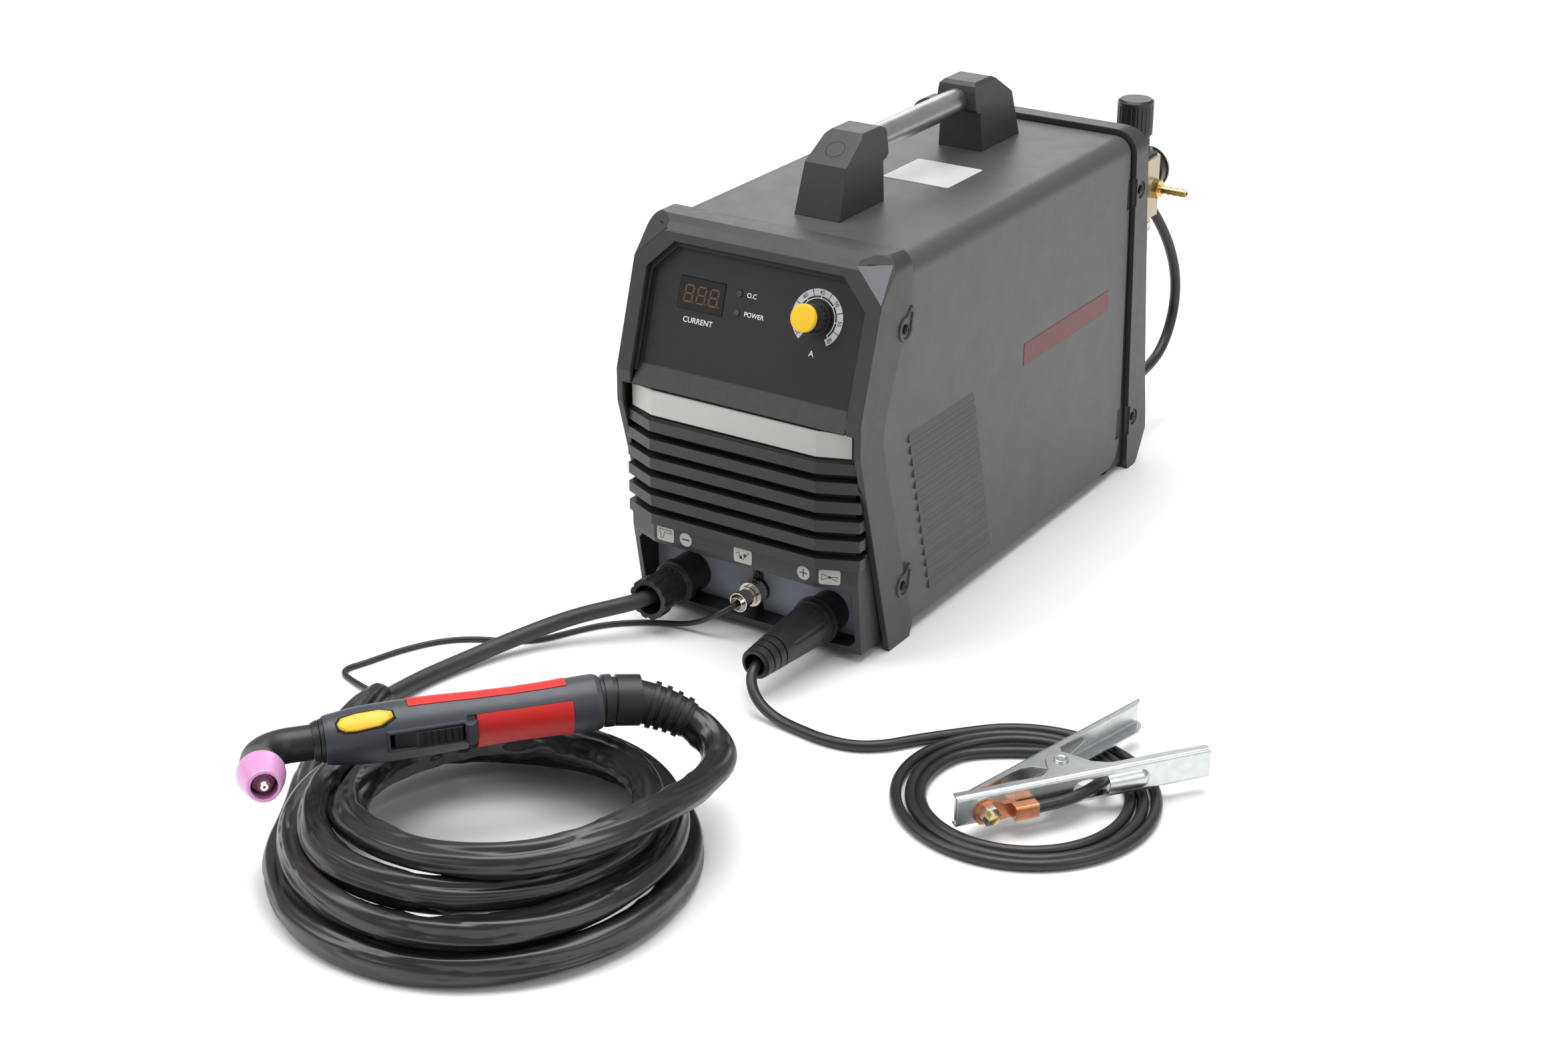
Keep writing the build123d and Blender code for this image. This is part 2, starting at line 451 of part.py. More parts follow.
ff = bx(FAN_X - 60, FAN_X + 60, 198.0, 223.2, FAN_Z - 60, FAN_Z + 60)
ff -= cyl((FAN_X, 190, FAN_Z), (0, 1, 0), 57.5, 60)
hub = cyl((FAN_X, 219.6, FAN_Z), (0, 1, 0), 20.0, 3.6)
for i in range(4):
    a = 90 * i + 45
    hub += Pos(FAN_X, 221.4, FAN_Z) * Rot(0, a, 0) * Pos(38, 0, 0) * Box(42, 3.2, 4)
ff += hub
ff -= cyl((FAN_X, 210, FAN_Z), (0, 1, 0), 2.05, 13.0)
for sx in (-1, 1):
    for sz in (-1, 1):
        ff -= cyl((FAN_X + sx * 52.5, 190, FAN_Z + sz * 52.5), (0, 1, 0), 2.1, 60)
put("fan_frame", ff)
ro = cyl((FAN_X, 199.5, FAN_Z), (0, 1, 0), 19.5, 19.0) + cyl((FAN_X, 217, FAN_Z), (0, 1, 0), 2.0, 5.4)
ann = cyl((FAN_X, 200.5, FAN_Z), (0, 1, 0), 55.6, 17.5)
for i in range(7):
    bl = Pos(FAN_X, 209.2, FAN_Z) * Rot(0, 360 / 7 * i, 0) * Pos(37, 0, 0) * Rot(38, 0, 0) * Box(46, 1.8, 32)
    ro += bl & ann
put("fan_rotor", ro)

# solenoid valve and the two hose fittings
sv = bx(GAS_X - 12, GAS_X + 12, 178, 206, GAS_Z - 12, GAS_Z + 12) + cyl((GAS_X, 192, GAS_Z + 11.5), (0, 0, 1), 11.0, 26)
sv -= cyl((GAS_X, 200, GAS_Z), (0, 1, 0), 5.04, 12)
put("solenoid_valve", sv)
gi = cyl((GAS_X, 201.0, GAS_Z), (0, 1, 0), 5.0, 20) + cyl((GAS_X, 216, GAS_Z), (0, 1, 0), 6.5, 11) + cyl((GAS_X, 225.0, GAS_Z), (0, 1, 0), 9.0, 7.0)
gi += cyl((GAS_X, 231.5, GAS_Z), (0, 1, 0), 6.6, 14.0)
gi -= cyl((GAS_X, 238.0, GAS_Z), (0, 1, 0), AIR_D / 2 + 0.02, 20)
gi -= cyl((GAS_X, 195.0, GAS_Z), (0, 1, 0), 2.5, 60)
OUT_Z = 250.0
oe = cyl((REG_X - 23, REG_Y, OUT_Z), (-1, 0, 0), 7.6, 8.0) + cyl((REG_X - 18.2, REG_Y, OUT_Z), (-1, 0, 0), 5.0, 8) + bx(REG_X - 41, REG_X - 27, REG_Y - 7, REG_Y + 7, OUT_Z - 7, OUT_Z + 7)
oe += cyl((REG_X - 34, REG_Y + 6, OUT_Z), (0, 1, 0), 6.4, 14.0)
oe -= cyl((REG_X - 34, REG_Y + 10, OUT_Z), (0, 1, 0), AIR_D / 2 + 0.02, 20)
put("air_hose_fittings", solids_of(gi, oe))

# regulator with bowl, bonnet, knob, gauge and brass inlet barb
rg = bx(REG_X - 20, REG_X + 20, REG_Y - 20, REG_Y + 20, 226.0, 282.0)
rg = chamfer(rg.edges().filter_by(Axis.Z), 4.0)
rg += cyl((REG_X + 19, REG_Y, OUT_Z + 5), (1, 0, 0), 9.4, 4.0) + cyl((REG_X - 19, REG_Y, OUT_Z), (-1, 0, 0), 9.4, 4.0)
rg += cyl((REG_X, REG_Y, 222.0), (0, 0, 1), 18.8, 5.0)
rg -= cyl((REG_X + 12, REG_Y, OUT_Z + 5), (1, 0, 0), 5.02, 20) + cyl((REG_X - 12, REG_Y, OUT_Z), (-1, 0, 0), 5.02, 20)
rg -= cyl((REG_X, REG_Y + 12, 262), (0, 1, 0), 4.52, 20)
put("regulator_body", rg)
bn = cyl((REG_X, REG_Y, 282.0), (0, 0, 1), 15.0, 8.0) + cyl((REG_X, REG_Y, 284.6), (0, 0, 1), 17.4, 4.6)
bn += cyl((REG_X, REG_Y, 289.0), (0, 0, 1), 14.4, 13.4) + cyl((REG_X, REG_Y, 302), (0, 0, 1), 3.0, 20)
for i in range(3):
    bn -= ring((REG_X, REG_Y, 291.5 + 3.2 * i), (0, 0, 1), 16, 13.7, 1.4)
put("regulator_bonnet", bn)
rk2 = cyl((REG_X, REG_Y, 303.0), (0, 0, 1), 16.3, 30.0) + cone((REG_X, REG_Y, 333.0), (0, 0, 1), 15.6, 14.0, 1.8)
for i in range(24):
    a = radians(15 * i)
    rk2 -= cyl((REG_X + 16.9 * cos(a), REG_Y + 16.9 * sin(a), 306), (0, 0, 1), 1.1, 24)
rk2 -= cyl((REG_X, REG_Y, 300), (0, 0, 1), 3.06, 23.5)
put("regulator_knob", rk2)
br = bx(REG_X - 17, REG_X + 17, 225.0, REG_Y + 16, 282.0, 284.5) + bx(REG_X - 17, REG_X + 17, 225.0, 227.4, 238, 284.5)
br -= cyl((REG_X, REG_Y, 270), (0, 0, 1), 15.04, 30)
for dx in (-11, 11):
    br -= cyl((REG_X + dx, 215, 250), (0, 1, 0), 2.2, 20)
    br += cyl((REG_X + dx, 227.3, 250), (0, 1, 0), 3.8, 2.2) + cyl((REG_X + dx, 218, 250), (0, 1, 0), 1.9, 10)
put("regulator_bracket", br)
bw = cyl((REG_X, REG_Y, 168.0), (0, 0, 1), 18.0, 54.0) + Pos(REG_X, REG_Y, 168.0) * Sphere(18.0)
bw = bw & bx(REG_X - 30, REG_X + 30, REG_Y - 30, REG_Y + 30, 152.5, 222.0)
bwi = cyl((REG_X, REG_Y, 168.0), (0, 0, 1), 16.0, 60.0) + Pos(REG_X, REG_Y, 168.0) * Sphere(16.0)
bw -= bwi & bx(REG_X - 30, REG_X + 30, REG_Y - 30, REG_Y + 30, 155.0, 230.0)
bw += cyl((REG_X, REG_Y, 147.0), (0, 0, 1), 5.6, 6.0)
bw += ring((REG_X, REG_Y, 214.0), (0, 0, 1), 19.6, 17.5, 8.0)
put("regulator_bowl", bw)
pg = cyl((REG_X, REG_Y + 14, 262), (0, 1, 0), 4.5, 8.0) + cyl((REG_X, REG_Y + 20.3, 262), (0, 1, 0), 6.4, 3.2) + cyl((REG_X, REG_Y + 23, 262), (0, 1, 0), 19.2, 13.0)
pg += ring((REG_X, REG_Y + 34.5, 262), (0, 1, 0), 20.2, 17.6, 3.6)
put("pressure_gauge", pg)
BZ = OUT_Z + 5
bb = cyl((REG_X + 13, REG_Y, BZ), (1, 0, 0), 5.0, 12.0)
bb += Plane(origin=(REG_X + 23, REG_Y, BZ), x_dir=(0, 1, 0), z_dir=(1, 0, 0)) * extrude(RegularPolygon(9.0, 6), 6.0)
bb += cyl((REG_X + 28, REG_Y, BZ), (1, 0, 0), 3.0, 27.0)
for i in range(4):
    bb += cone((REG_X + 31 + 6 * i, REG_Y, BZ), (1, 0, 0), 3.9, 3.0, 6.0)
bb -= cyl((REG_X + 10, REG_Y, BZ), (1, 0, 0), 1.8, 60)
put("air_inlet_barb", bb)

# ----------------------------------------------------------- inside the case
pb = bx(-92, 62, -165, 150, 30.0, 31.6)
for (x, y) in ((-84, -157), (54, -157), (-84, 142), (54, 142)):
    pb += cyl((x, y, 10.6), (0, 0, 1), 3.5, 19.6)
for (x, y) in ((-62, 70), (-24, 70), (-62, 110), (-24, 110)):
    pb += cyl((x, y, 31.4), (0, 0, 1), 15.0, 45.0)
put("power_board", pb)
hs = []
for x0 in (-85.0, -35.0):
    h = bx(x0, x0 + 40, -150, 30, 31.6, 39.0)
    for k in range(8):
        h += bx(x0 + 0.5 + 5.3 * k, x0 + 2.4 + 5.3 * k, -150, 30, 38.5, 96.0)
    hs.append(h)
put("heatsinks", solids_of(*hs))
tr = bx(18, 56, -70, 30, 31.6, 120.0) - bx(10, 60, -47, 7, 52, 100.0)
put("transformer", solids_of(tr, bx(12, 61, -47, 7, 52, 100)))


# -------------------------------------------------------------------- cords
CORDS = {}


def route(pts, d, name):
    rad = []
    n = len(pts)
    for k in range(1, n - 1):
        a = Vector(*pts[k]) - Vector(*pts[k - 1])
        b = Vector(*pts[k + 1]) - Vector(*pts[k])
        turn = a.get_angle(b)
        rad.append(0.45 * min(a.length, b.length) / tan(radians(turn) / 2))
    w = FilletPolyline(*pts, radius=rad)
    CORDS.setdefault(name, []).append((d, min(rad), w.length))
    t0 = w % 0
    t0 = w.tangent_at(0)
    sec = Plane(origin=w.position_at(0), z_dir=t0) * Circle(d / 2)
    t = sweep(sec, path=w)
    ideal = pi * d * d / 4 * w.length
    print("%s: length %.1f mm, smallest bend radius %.1f mm, volume / (section x length) = %.4f"
          % (name, w.length, min(rad), t.volume / ideal))
    return t


air_pts = [(43, 287.4, 250), (43, 304, 250), (44.5, 322, 245), (52, 343, 229), (62, 366, 202), (70, 388, 166), (73.5, 402, 128),
           (74, 400, 92), (73.8, 379, 62), (73.3, 346, 51.5), (73, 307, 50.5), (73, 270, 52), (73, 238.2, 52)]
put("air_hose", route(air_pts, AIR_D, "air_hose"))

hose_pts = [(-66, -252.0, 31), (-66, -274, 31), (-73.5, -296, 30.4), (-87, -311, 28.0), (-103, -325, 24.0), (-118, -341, 19.2),
            (-131, -360, 14.5), (-143, -383, 10.5), (-153, -411, 7.6), (-161.5, -446, 6.9), (-163.8, -474, 7.6), (-161.1, -497.4, 10.5)]
put("torch_hose", route(hose_pts, HOSE_D, "torch_hose"))

trig_pts = [(-2, -248.5, 31), (-2.6, -256.4, 30.4), (-9, -262.5, 26), (-18, -265, 20), (-30, -265, 12), (-46, -265, 5.0), (-66, -269, 2.7),
            (-86, -280, 2.4), (-104, -297, 2.6), (-117, -318, 2.3), (-131, -347, 2.5), (-152, -362, 2.3), (-177, -373, 2.5), (-198, -391, 2.3),
            (-213.5, -420, 2.5), (-223, -452, 2.4), (-229, -466, 2.5), (-225.5, -475, 2.4), (-210, -480, 2.6), (-190, -486.5, 4.4), (-176, -492.3, 8.6), (-170.1, -500.4, 11.0)]
put("trigger_cable", route(trig_pts, TRIG_D, "trigger_cable"))

COIL_C = (41.5, -627.0)
TA = Vector(-64.66, -665.15, 84.0)     # front end of the torch handle
TU = Vector(0.6508, 0.7592, 0.0)       # along the torch, level
TN = Vector(0.7592, -0.6508, 0.0)      # towards the torch trigger side, level
# centre line of the bend relief, from the handle to the sleeved lead
q0 = TA + TU * 191.5
q1 = q0 + TU * 34.5
q2 = Vector(112.9, -484.0, 67.0)
NB = 14


def bez2(t):
    return q0 * ((1 - t) ** 2) + q1 * (2 * t * (1 - t)) + q2 * (t * t)


def bez2d(t):
    return ((q1 - q0) * (2 * (1 - t)) + (q2 - q1) * (2 * t)).normalized()


dn = bez2d(1.0)
LEAD_Z = SLEEVE_D / 2 + 0.1
lead_a = [(-164, -500, LEAD_Z), (-157.5, -529, LEAD_Z + 0.3), (-148, -560, LEAD_Z), (-137.5, -590, LEAD_Z + 0.3), (-126, -618, LEAD_Z)]
lead_b = [tuple(q2 - dn * 7.2), tuple(q2 + dn * 8.5), (136.5, -486.5, 57.0), (149.5, -503, 55.5), (159, -530, 58.5), (165, -563, 64.5), (166.6, -598, 70.5)]
la = route(lead_a, SLEEVE_D, "torch_lead")
lb = route(lead_b, SLEEVE_D, "torch_lead")
put("torch_lead", solids_of(la, lb))

# four loose turns of the sleeved lead, lower where the torch lies
cp = Polygon((121, 0), (153, 0), (153.4, 12), (152, 21), (144, 39), (127, 54), (110, 59), (107.5, 66), (106, 78), (86, 78), (84.5, 58), (100, 38), (118, 17), align=None)
cp = Plane(origin=(COIL_C[0], COIL_C[1], 0), x_dir=(1, 0, 0), z_dir=(0, -1, 0)) * cp
coil = revolve(cp, axis=Axis((COIL_C[0], COIL_C[1], 0), (0, 0, 1)), revolution_arc=360)
cut_n = (Vector(0, 0, 1) - TN * 0.094).normalized()
coil -= half_space((TA.X, TA.Y, 62.6), tuple(cut_n), 700)
put("torch_lead_coil", coil)

e_lead = [(67, -321.3, 31), (67, -335, 30.3), (72.5, -347, 21.5), (85, -353.5, 11.2), (103, -356.5, 5.2), (124, -359.5, 4.4),
          (148, -362.5, 4.6), (172, -358.5, 4.4), (191, -345, 4.6), (202.5, -328.5, 4.4)]
CLX, CLY = (0.60075, 0.79944), (-0.79944, 0.60075)
CL0 = (297.0, -427.5)


def cw(s, y, z):
    return (CL0[0] + s * CLX[0] + y * CLY[0], CL0[1] + s * CLX[1] + y * CLY[1], z)


tail_local = [(50.2, -6.0, 19.6), (66, -6.0, 19.8), (82, -5.8, 20.6), (97, -1.8, 21.2), (109.5, 5.0, 20.4), (119.5, 14.0, 18.0), (127.0, 25.0, 15.6)]
e_tail = [cw(*p) for p in tail_local]
put("earth_cable", solids_of(route(e_lead, EARTH_D, "earth_cable"), route(e_tail, EARTH_D, "earth_cable")))
ECOIL = (309.0, -355.0)
ec = Plane(origin=(ECOIL[0], ECOIL[1], 0), x_dir=(1, 0, 0), z_dir=(0, -1, 0)) * Polygon((60.5, 0), (103.5, 0), (104.2, 5), (102, 9), (98, 11), (66, 11), (61, 9), (60, 5), align=None)
put("earth_cable_coil", revolve(ec, axis=Axis((ECOIL[0], ECOIL[1], 0), (0, 0, 1)), revolution_arc=360))

# -------------------------------------------------------------------- torch
TP = Plane(origin=(TA.X, TA.Y, TA.Z), x_dir=(0.6508, 0.7592, 0.0), z_dir=(0, 0, 1))
TL = TP.location * Rot(-8, 0, 0)       # local: +X to the tail, -Y towards the trigger


def rev_x(pts):
    # revolve a half profile (x, r) about the local X axis
    return revolve(Plane.XY * Polygon(*pts, align=None), axis=Axis.X, revolution_arc=360)


HP = [(0, 16.6), (3, 17.4), (8, 18.0), (18, 19.4), (32, 20.4), (50, 20.6), (80, 20.0), (105, 19.0), (130, 18.5), (155, 18.9), (178, 19.9), (188, 20.0), (191, 19.0), (192, 18.0)]


def handle_profile(off):
    return [(0 if off <= 0 else 0, 0)] + [(x, r + off) for (x, r) in HP] + [(192, 0)]


def wedge_x(x0, x1, a0, a1, r=60):
    # sector about the X axis, angles from local +Y towards +Z
    n = 8
    pts = [(0, 0)] + [(r * cos(radians(a0 + (a1 - a0) * i / n)), r * sin(radians(a0 + (a1 - a0) * i / n))) for i in range(n + 1)]
    return prism_yz(pts, x0, x1)


hd = rev_x(handle_profile(0))
g_all = rev_x(handle_profile(0.5)) - rev_x([(-1, 0), (-1, 16.0)] + [(x, r - 2.0) for (x, r) in HP] + [(193, 16), (193, 0)])
grip1 = g_all & (wedge_x(103, 170, 150, 255))
grip2 = g_all & (wedge_x(58, 168, 62, 112))
cutter = rev_x(handle_profile(0.6)) - rev_x([(-1, 0), (-1, 16.0)] + [(x, r - 2.0) for (x, r) in HP] + [(193, 16), (193, 0)])
hd -= cutter & wedge_x(102.9, 170.1, 149.7, 255.3)
hd -= cutter & wedge_x(57.9, 168.1, 61.7, 112.3)
hd -= grip1
hd -= grip2
fin = prism_xy([(93.6, -12), (93.6, -24), (95.0, -28.0), (98.5, -28.4), (101.0, -24.5), (103.5, -19.5), (106, -12)], -6.8, 6.8)
hd += fin
hd += prism_xy([(38, -14), (41.5, -22.6), (94, -21.5), (96, -14)], -7.2, 7.2)
hd -= wedge_x(96.1, 106.5, 149.7, 255.3) & (cutter + grip1)
hd -= bx(42.5, 93.6, -40, -4.5, -5.6, 5.6)
hd -= cyl((47.0, -13.0, -7.0), (0, 0, 1), 1.56, 14.0)
hd -= cyl((-1, 0, 0), (1, 0, 0), 10.6, 14.0)
put("torch_handle", TL * hd)
put("torch_grips", TL * solids_of(grip1, grip2))
tg = prism_xy([(44.2, -10.6), (44.2, -16.0), (46.0, -19.5), (60, -22.4), (62, -24.0), (91.0, -24.6), (92.6, -23.0), (92.6, -13.0), (60, -10.6)], -5.2, 5.2)
for i in range(6):
    tg -= bx(65 + 4.6 * i, 66.6 + 4.6 * i, -30, -23.4, -6, 6)
tg += cyl((47.0, -13.0, -6.6), (0, 0, 1), 1.5, 13.2)
put("torch_trigger", TL * tg)

# head: collar, neck, 90 degree elbow and head body
hdp = FilletPolyline((11.5, 0, 0), (-46, 0, 0), (-46, -40.5, 0), radius=24.0)
nk = sweep(Plane(origin=(11.5, 0, 0), z_dir=(-1, 0, 0)) * Circle(10.5), path=hdp)
nk2 = FilletPolyline((-1.0, 0, 0), (-46, 0, 0), (-46, -40.5, 0), radius=24.0)
nk += sweep(Plane(origin=(-1.0, 0, 0), z_dir=(-1, 0, 0)) * Circle(12.2), path=nk2)
nk += cone((-0.2, 0, 0), (-1, 0, 0), 15.6, 14.6, 2.6) + cone((-3.4, 0, 0), (-1, 0, 0), 14.8, 13.0, 4.5)
nk += cone((-46, -22, 0), (0, -1, 0), 12.4, 15.2, 18.5)
nk += cyl((-46, -40, 0), (0, -1, 0), 9.6, 8.5)
put("torch_head", TL * nk)
cupo = revolve(Plane.XY * Polygon((0, -40.6), (14.6, -40.6), (16.4, -43.0), (16.4, -45.5), (15.2, -52), (13.2, -60), (11.6, -65.4), (10.6, -66.6), (0, -66.6), align=None), axis=Axis.Y, revolution_arc=360)
cupi = revolve(Plane.XY * Polygon((0, -38), (9.64, -38), (9.64, -49.0), (9.4, -58), (8.9, -68), (0, -68), align=None), axis=Axis.Y, revolution_arc=360)
cup = Pos(-46, 0, 0) * (cupo - cupi)
put("torch_shield_cup", TL * cup)
nz = revolve(Plane.XY * Polygon((0, -48.5), (7.9, -48.5), (7.9, -56), (6.6, -57.5), (6.6, -60.5), (5.4, -62.0), (4.4, -65.0), (2.6, -67.8), (0, -67.8), align=None), axis=Axis.Y, revolution_arc=360)
nz -= cyl((0, -60, 0), (0, -1, 0), 0.8, 12)
put("torch_nozzle", TL * (Pos(-46, 0, 0) * nz))

# bend relief: ribbed rubber sleeve that droops towards the sleeved lead
rel = None
for i in range(NB):
    t0, t1 = i / NB, (i + 1) / NB
    a, b = bez2(t0), bez2(t1)
    d = (b - a).normalized()
    r0 = 17.2 - 4.2 * t0
    r1 = 17.2 - 4.2 * t1
    seg = cone(tuple(a - d * (0.0 if i == 0 else 0.9)), tuple(d), r0, r1, (b - a).length + (0.9 if i == 0 else (0.0 if i == NB - 1 else 1.8)))
    rel = seg if rel is None else rel + seg
for t, w, rr in ((0.04, 6.0, 18.6), (0.17, 17.0, 18.2), (0.55, 3.4, 17.0), (0.66, 3.4, 16.4), (0.77, 3.4, 15.8), (0.88, 4.0, 15.2)):
    a, d = bez2(t), bez2d(t + 0.03)
    rel += cyl(tuple(a), tuple(d), rr, w)
rel -= TL * bx(150, 192.05, -45, 45, -45, 45)
bore0 = q2 - dn * 7.3
rel -= cyl(tuple(bore0), tuple(dn), 11.9, 20)
put("torch_bend_relief", solids_of(rel))

# -------------------------------------------------------------------- clamp
CP = Plane(origin=(CL0[0], CL0[1], 0), x_dir=(CLX[0], CLX[1], 0), z_dir=(0, 0, 1))
CL = CP.location
ZB, ZT = 11.3, 35.3                    # lower and upper faces of the near arm
PVS, PVY = 90.4, 23.0                  # rivet
T = 1.5
# near arm: a channel whose back faces out, with a flange above and below
chn = Rectangle(ZT - ZB, 8.0)
chn = fillet(chn.vertices().group_by(Axis.Y)[0], 3.2)
chi = Rectangle(ZT - ZB - 2 * T, 8.0)
chi = fillet(chi.vertices().group_by(Axis.Y)[0], 1.7)
SEC = Plane(origin=(0, 4.0, (ZB + ZT) / 2), x_dir=(0, 0, 1), z_dir=(1, 0, 0))
SECI = Plane(origin=(0, 4.0 + T, (ZB + ZT) / 2), x_dir=(0, 0, 1), z_dir=(1, 0, 0))


def sec_face(hgt, dep, r, x0, x1, y0):
    # rounded channel block between two stations along the arm
    zc = (ZB + ZT) / 2
    b_ = bx(x0, x1, y0, y0 + dep, zc - hgt / 2, zc + hgt / 2)
    e = [e_ for e_ in b_.edges().filter_by(Axis.X) if abs(e_.center().Y - y0) < 0.01]
    return fillet(e, r)


la_ = sec_face(ZT - ZB, 8.0, 3.2, 0, 198, 0.0) - sec_face(ZT - ZB - 2 * T, 12.0, 1.7, -2, 200, T)
ear = [(62, 6.5), (70, 9.0), (76, 14.5), (78.5, 22), (80.5, 29), (86, 34.5), (92, 35.5), (97.5, 32.5), (103.5, 24.0), (110, 14.5), (120, 9.0), (130, 6.5)]
la_ += prism_xy(ear, ZT - T, ZT) + prism_xy(ear, ZB, ZB + T)
cap_o = cyl((112, 3.2, 22.4), (1, 0, 0), 8.0, 30) + Pos(142, 3.2, 22.4) * Sphere(8.0)
cap_i = cyl((110, 3.2, 22.4), (1, 0, 0), 6.6, 32) + Pos(142, 3.2, 22.4) * Sphere(6.6)
cap_o -= bx(100, 160, 1.0, 20, 0, 50)
la_ += cap_o
la_ -= cap_i & bx(100, 160, -10, T + 0.02, 0, 50)
la_ -= bx(96.0, 116.0, -9, T + 1.0, 14.6, 30.0) + cyl((96.5, T + 1, 22.3), (0, -1, 0), 7.7, 12)
BS, BZC = 22.5, 20.4
la_ -= cyl((BS, 4, BZC), (0, -1, 0), 4.02, 8)
la_ -= prism_xy([(150, 9), (150, 20), (200, 20), (200, 4.5), (196, 7.0)], 0, 50)
la_ += cyl((PVS, PVY, ZB - 0.3), (0, 0, 1), 3.0, ZT - ZB + 0.6)
la_ += cyl((PVS, PVY, ZT - 0.2), (0, 0, 1), 5.2, 1.6) + cyl((PVS, PVY, ZB - 1.4), (0, 0, 1), 5.2, 1.6)
la_ -= cyl((PVS, PVY, ZT - 1.2), (0, 0, 1), 2.4, 4)
put("clamp_lower_arm", CL * la_)
# far arm, turned about the rivet: u along it from the nose, v towards the near arm
FA = Plane(origin=(0.9, 7.1, 0), x_dir=(0.9143, 0.4051, 0), z_dir=(0, 0, 1)).location
FZ0, FZ1 = ZB + T + 0.1, ZT - T - 0.1
UP, VP = 88.27, 21.72


def far_block(hgt, dep, r, x0, x1, off):
    zc = (FZ0 + FZ1) / 2
    b_ = bx(x0, x1, -off - dep, -off, zc - hgt / 2, zc + hgt / 2)
    e = [e_ for e_ in b_.edges().filter_by(Axis.X) if abs(e_.center().Y + off) < 0.01]
    return fillet(e, r)


ua = far_block(FZ1 - FZ0, 16.0, 2.8, 0, 201, 0.0) - far_block(FZ1 - FZ0 - 2 * T, 22.0, 1.3, -2, 204, T)
keep_top = prism_xy([(0, 1), (0, -2.6), (12, -3.4), (30, -6.4), (54, -6.8), (62, -8.0), (69, -12), (74, -20), (79, -28.5), (85, -31.2), (92, -31.0), (97.5, -27.5), (99.5, -21),
                     (99.8, -12.5), (104, -7.4), (112, -6.8), (190, -6.8), (198, -5.2), (201, -2.6), (201, 1)], FZ1 - T, FZ1)
keep_bot = prism_xy([(0, 1), (0, -2.6), (12, -3.4), (30, -6.4), (54, -6.8), (62, -8.0), (69, -12), (74, -20), (79, -28.5), (85, -31.2), (92, -31.0), (97.5, -27.5), (99.5, -21),
                     (100.5, -14.5), (104, -12.4), (112, -12.0), (190, -12.0), (198, -8.2), (201, -4.6), (201, 1)], FZ0, FZ0 + T)
web = bx(-1, 202, -T - 1.2, 1, FZ0 - 1, FZ1 + 1)
ua = (ua & (web + keep_top + keep_bot)) + keep_top.cut(bx(-5, 210, -3.5, 5, 0, 60)) + keep_bot.cut(bx(-5, 210, -3.5, 5, 0, 60))
ua -= cyl((UP, -VP, 5), (0, 0, 1), 3.06, 40)
put("clamp_upper_arm", CL * (FA * ua))
ush = bx(4, 46, -2.75, -T - 0.05, FZ0 + 3.1, FZ1 - 3.1)
put("clamp_upper_shoe", CL * (FA * ush))
lsh = bx(1.5, 15.0, T + 0.05, T + 1.35, ZB + 3.6, ZT - 3.6) + bx(14.9, 38, T + 0.05, T + 1.35, ZT - 8.5, ZT - 3.6)
put("clamp_lower_shoe", CL * lsh)
spn = cyl((UP, -VP, FZ0 + 4.0), (0, 0, 1), 7.4, FZ1 - FZ0 - 8.0) - cyl((UP, -VP, 0), (0, 0, 1), 4.4, 60)
d_leg = Vector(138 - UP, -3.0 + VP - 6.2, 0)
spn += cyl((UP, -VP + 6.2, 24.5), tuple(d_leg.normalized()), 0.95, d_leg.length)
put("clamp_spring", CL * (FA * spn))
pal = prism_xz([(BS - 9.5, BZC - 4), (BS - 6.5, BZC - 8), (BS, BZC - 9.0), (BS + 6, BZC - 8.2), (BS + 14, BZC - 7.0), (44, 14.6), (44, 25.0), (BS + 12, BZC + 5),
                 (BS + 6, BZC + 8.2), (BS, BZC + 9.5), (BS - 6.5, BZC + 8), (BS - 9.5, BZC + 4)], -2.2, -0.02)
crimp = bx(40, 58, -11.0, -0.9, 14.2, 25.2)
crimp = fillet(crimp.edges().filter_by(Axis.X), 1.8)
pal += crimp + bx(40, 46, -3.4, -0.5, 15.4, 24.2)
pal -= cyl((49.8, -6.0, 19.6), (1, 0, 0.0), 4.27, 20)
pal -= cyl((BS, 1, BZC), (0, -1, 0), 4.06, 6)
put("clamp_lug", CL * pal)
hexn = Plane(origin=(BS, -2.2, BZC), x_dir=(1, 0, 0), z_dir=(0, -1, 0)) * extrude(RegularPolygon(7.5, 6), 6.4)
hexn -= cyl((BS, -1, BZC), (0, -1, 0), 3.98, 9)
bolt = cyl((BS, 1.4, BZC), (0, -1, 0), 3.96, 14.0)
put("clamp_bolt", CL * solids_of(hexn, bolt))

# -------------------------------------------------------------------- export
for name, shape in parts.items():
    shape.label = name
    export_step(shape, "parts/%s.step" % name)
print("%d parts" % len(parts))
tot = {}
for n, rows in CORDS.items():
    print("%s: section radius %.2f mm" % (n, rows[0][0] / 2), "runs", ["%.1f" % r[2] for r in rows])
for name, shape in parts.items():
    vs = [x.volume for x in shape.solids()]
    bb_ = shape.bounding_box()
    print("%-22s solids %d  vol %.1f  x %.1f..%.1f  y %.1f..%.1f  z %.1f..%.1f" % (name, len(vs), sum(vs), bb_.min.X, bb_.max.X, bb_.min.Y, bb_.max.Y, bb_.min.Z, bb_.max.Z))
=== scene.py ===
import bpy
import math
import random
from mathutils import Matrix, Vector, noise


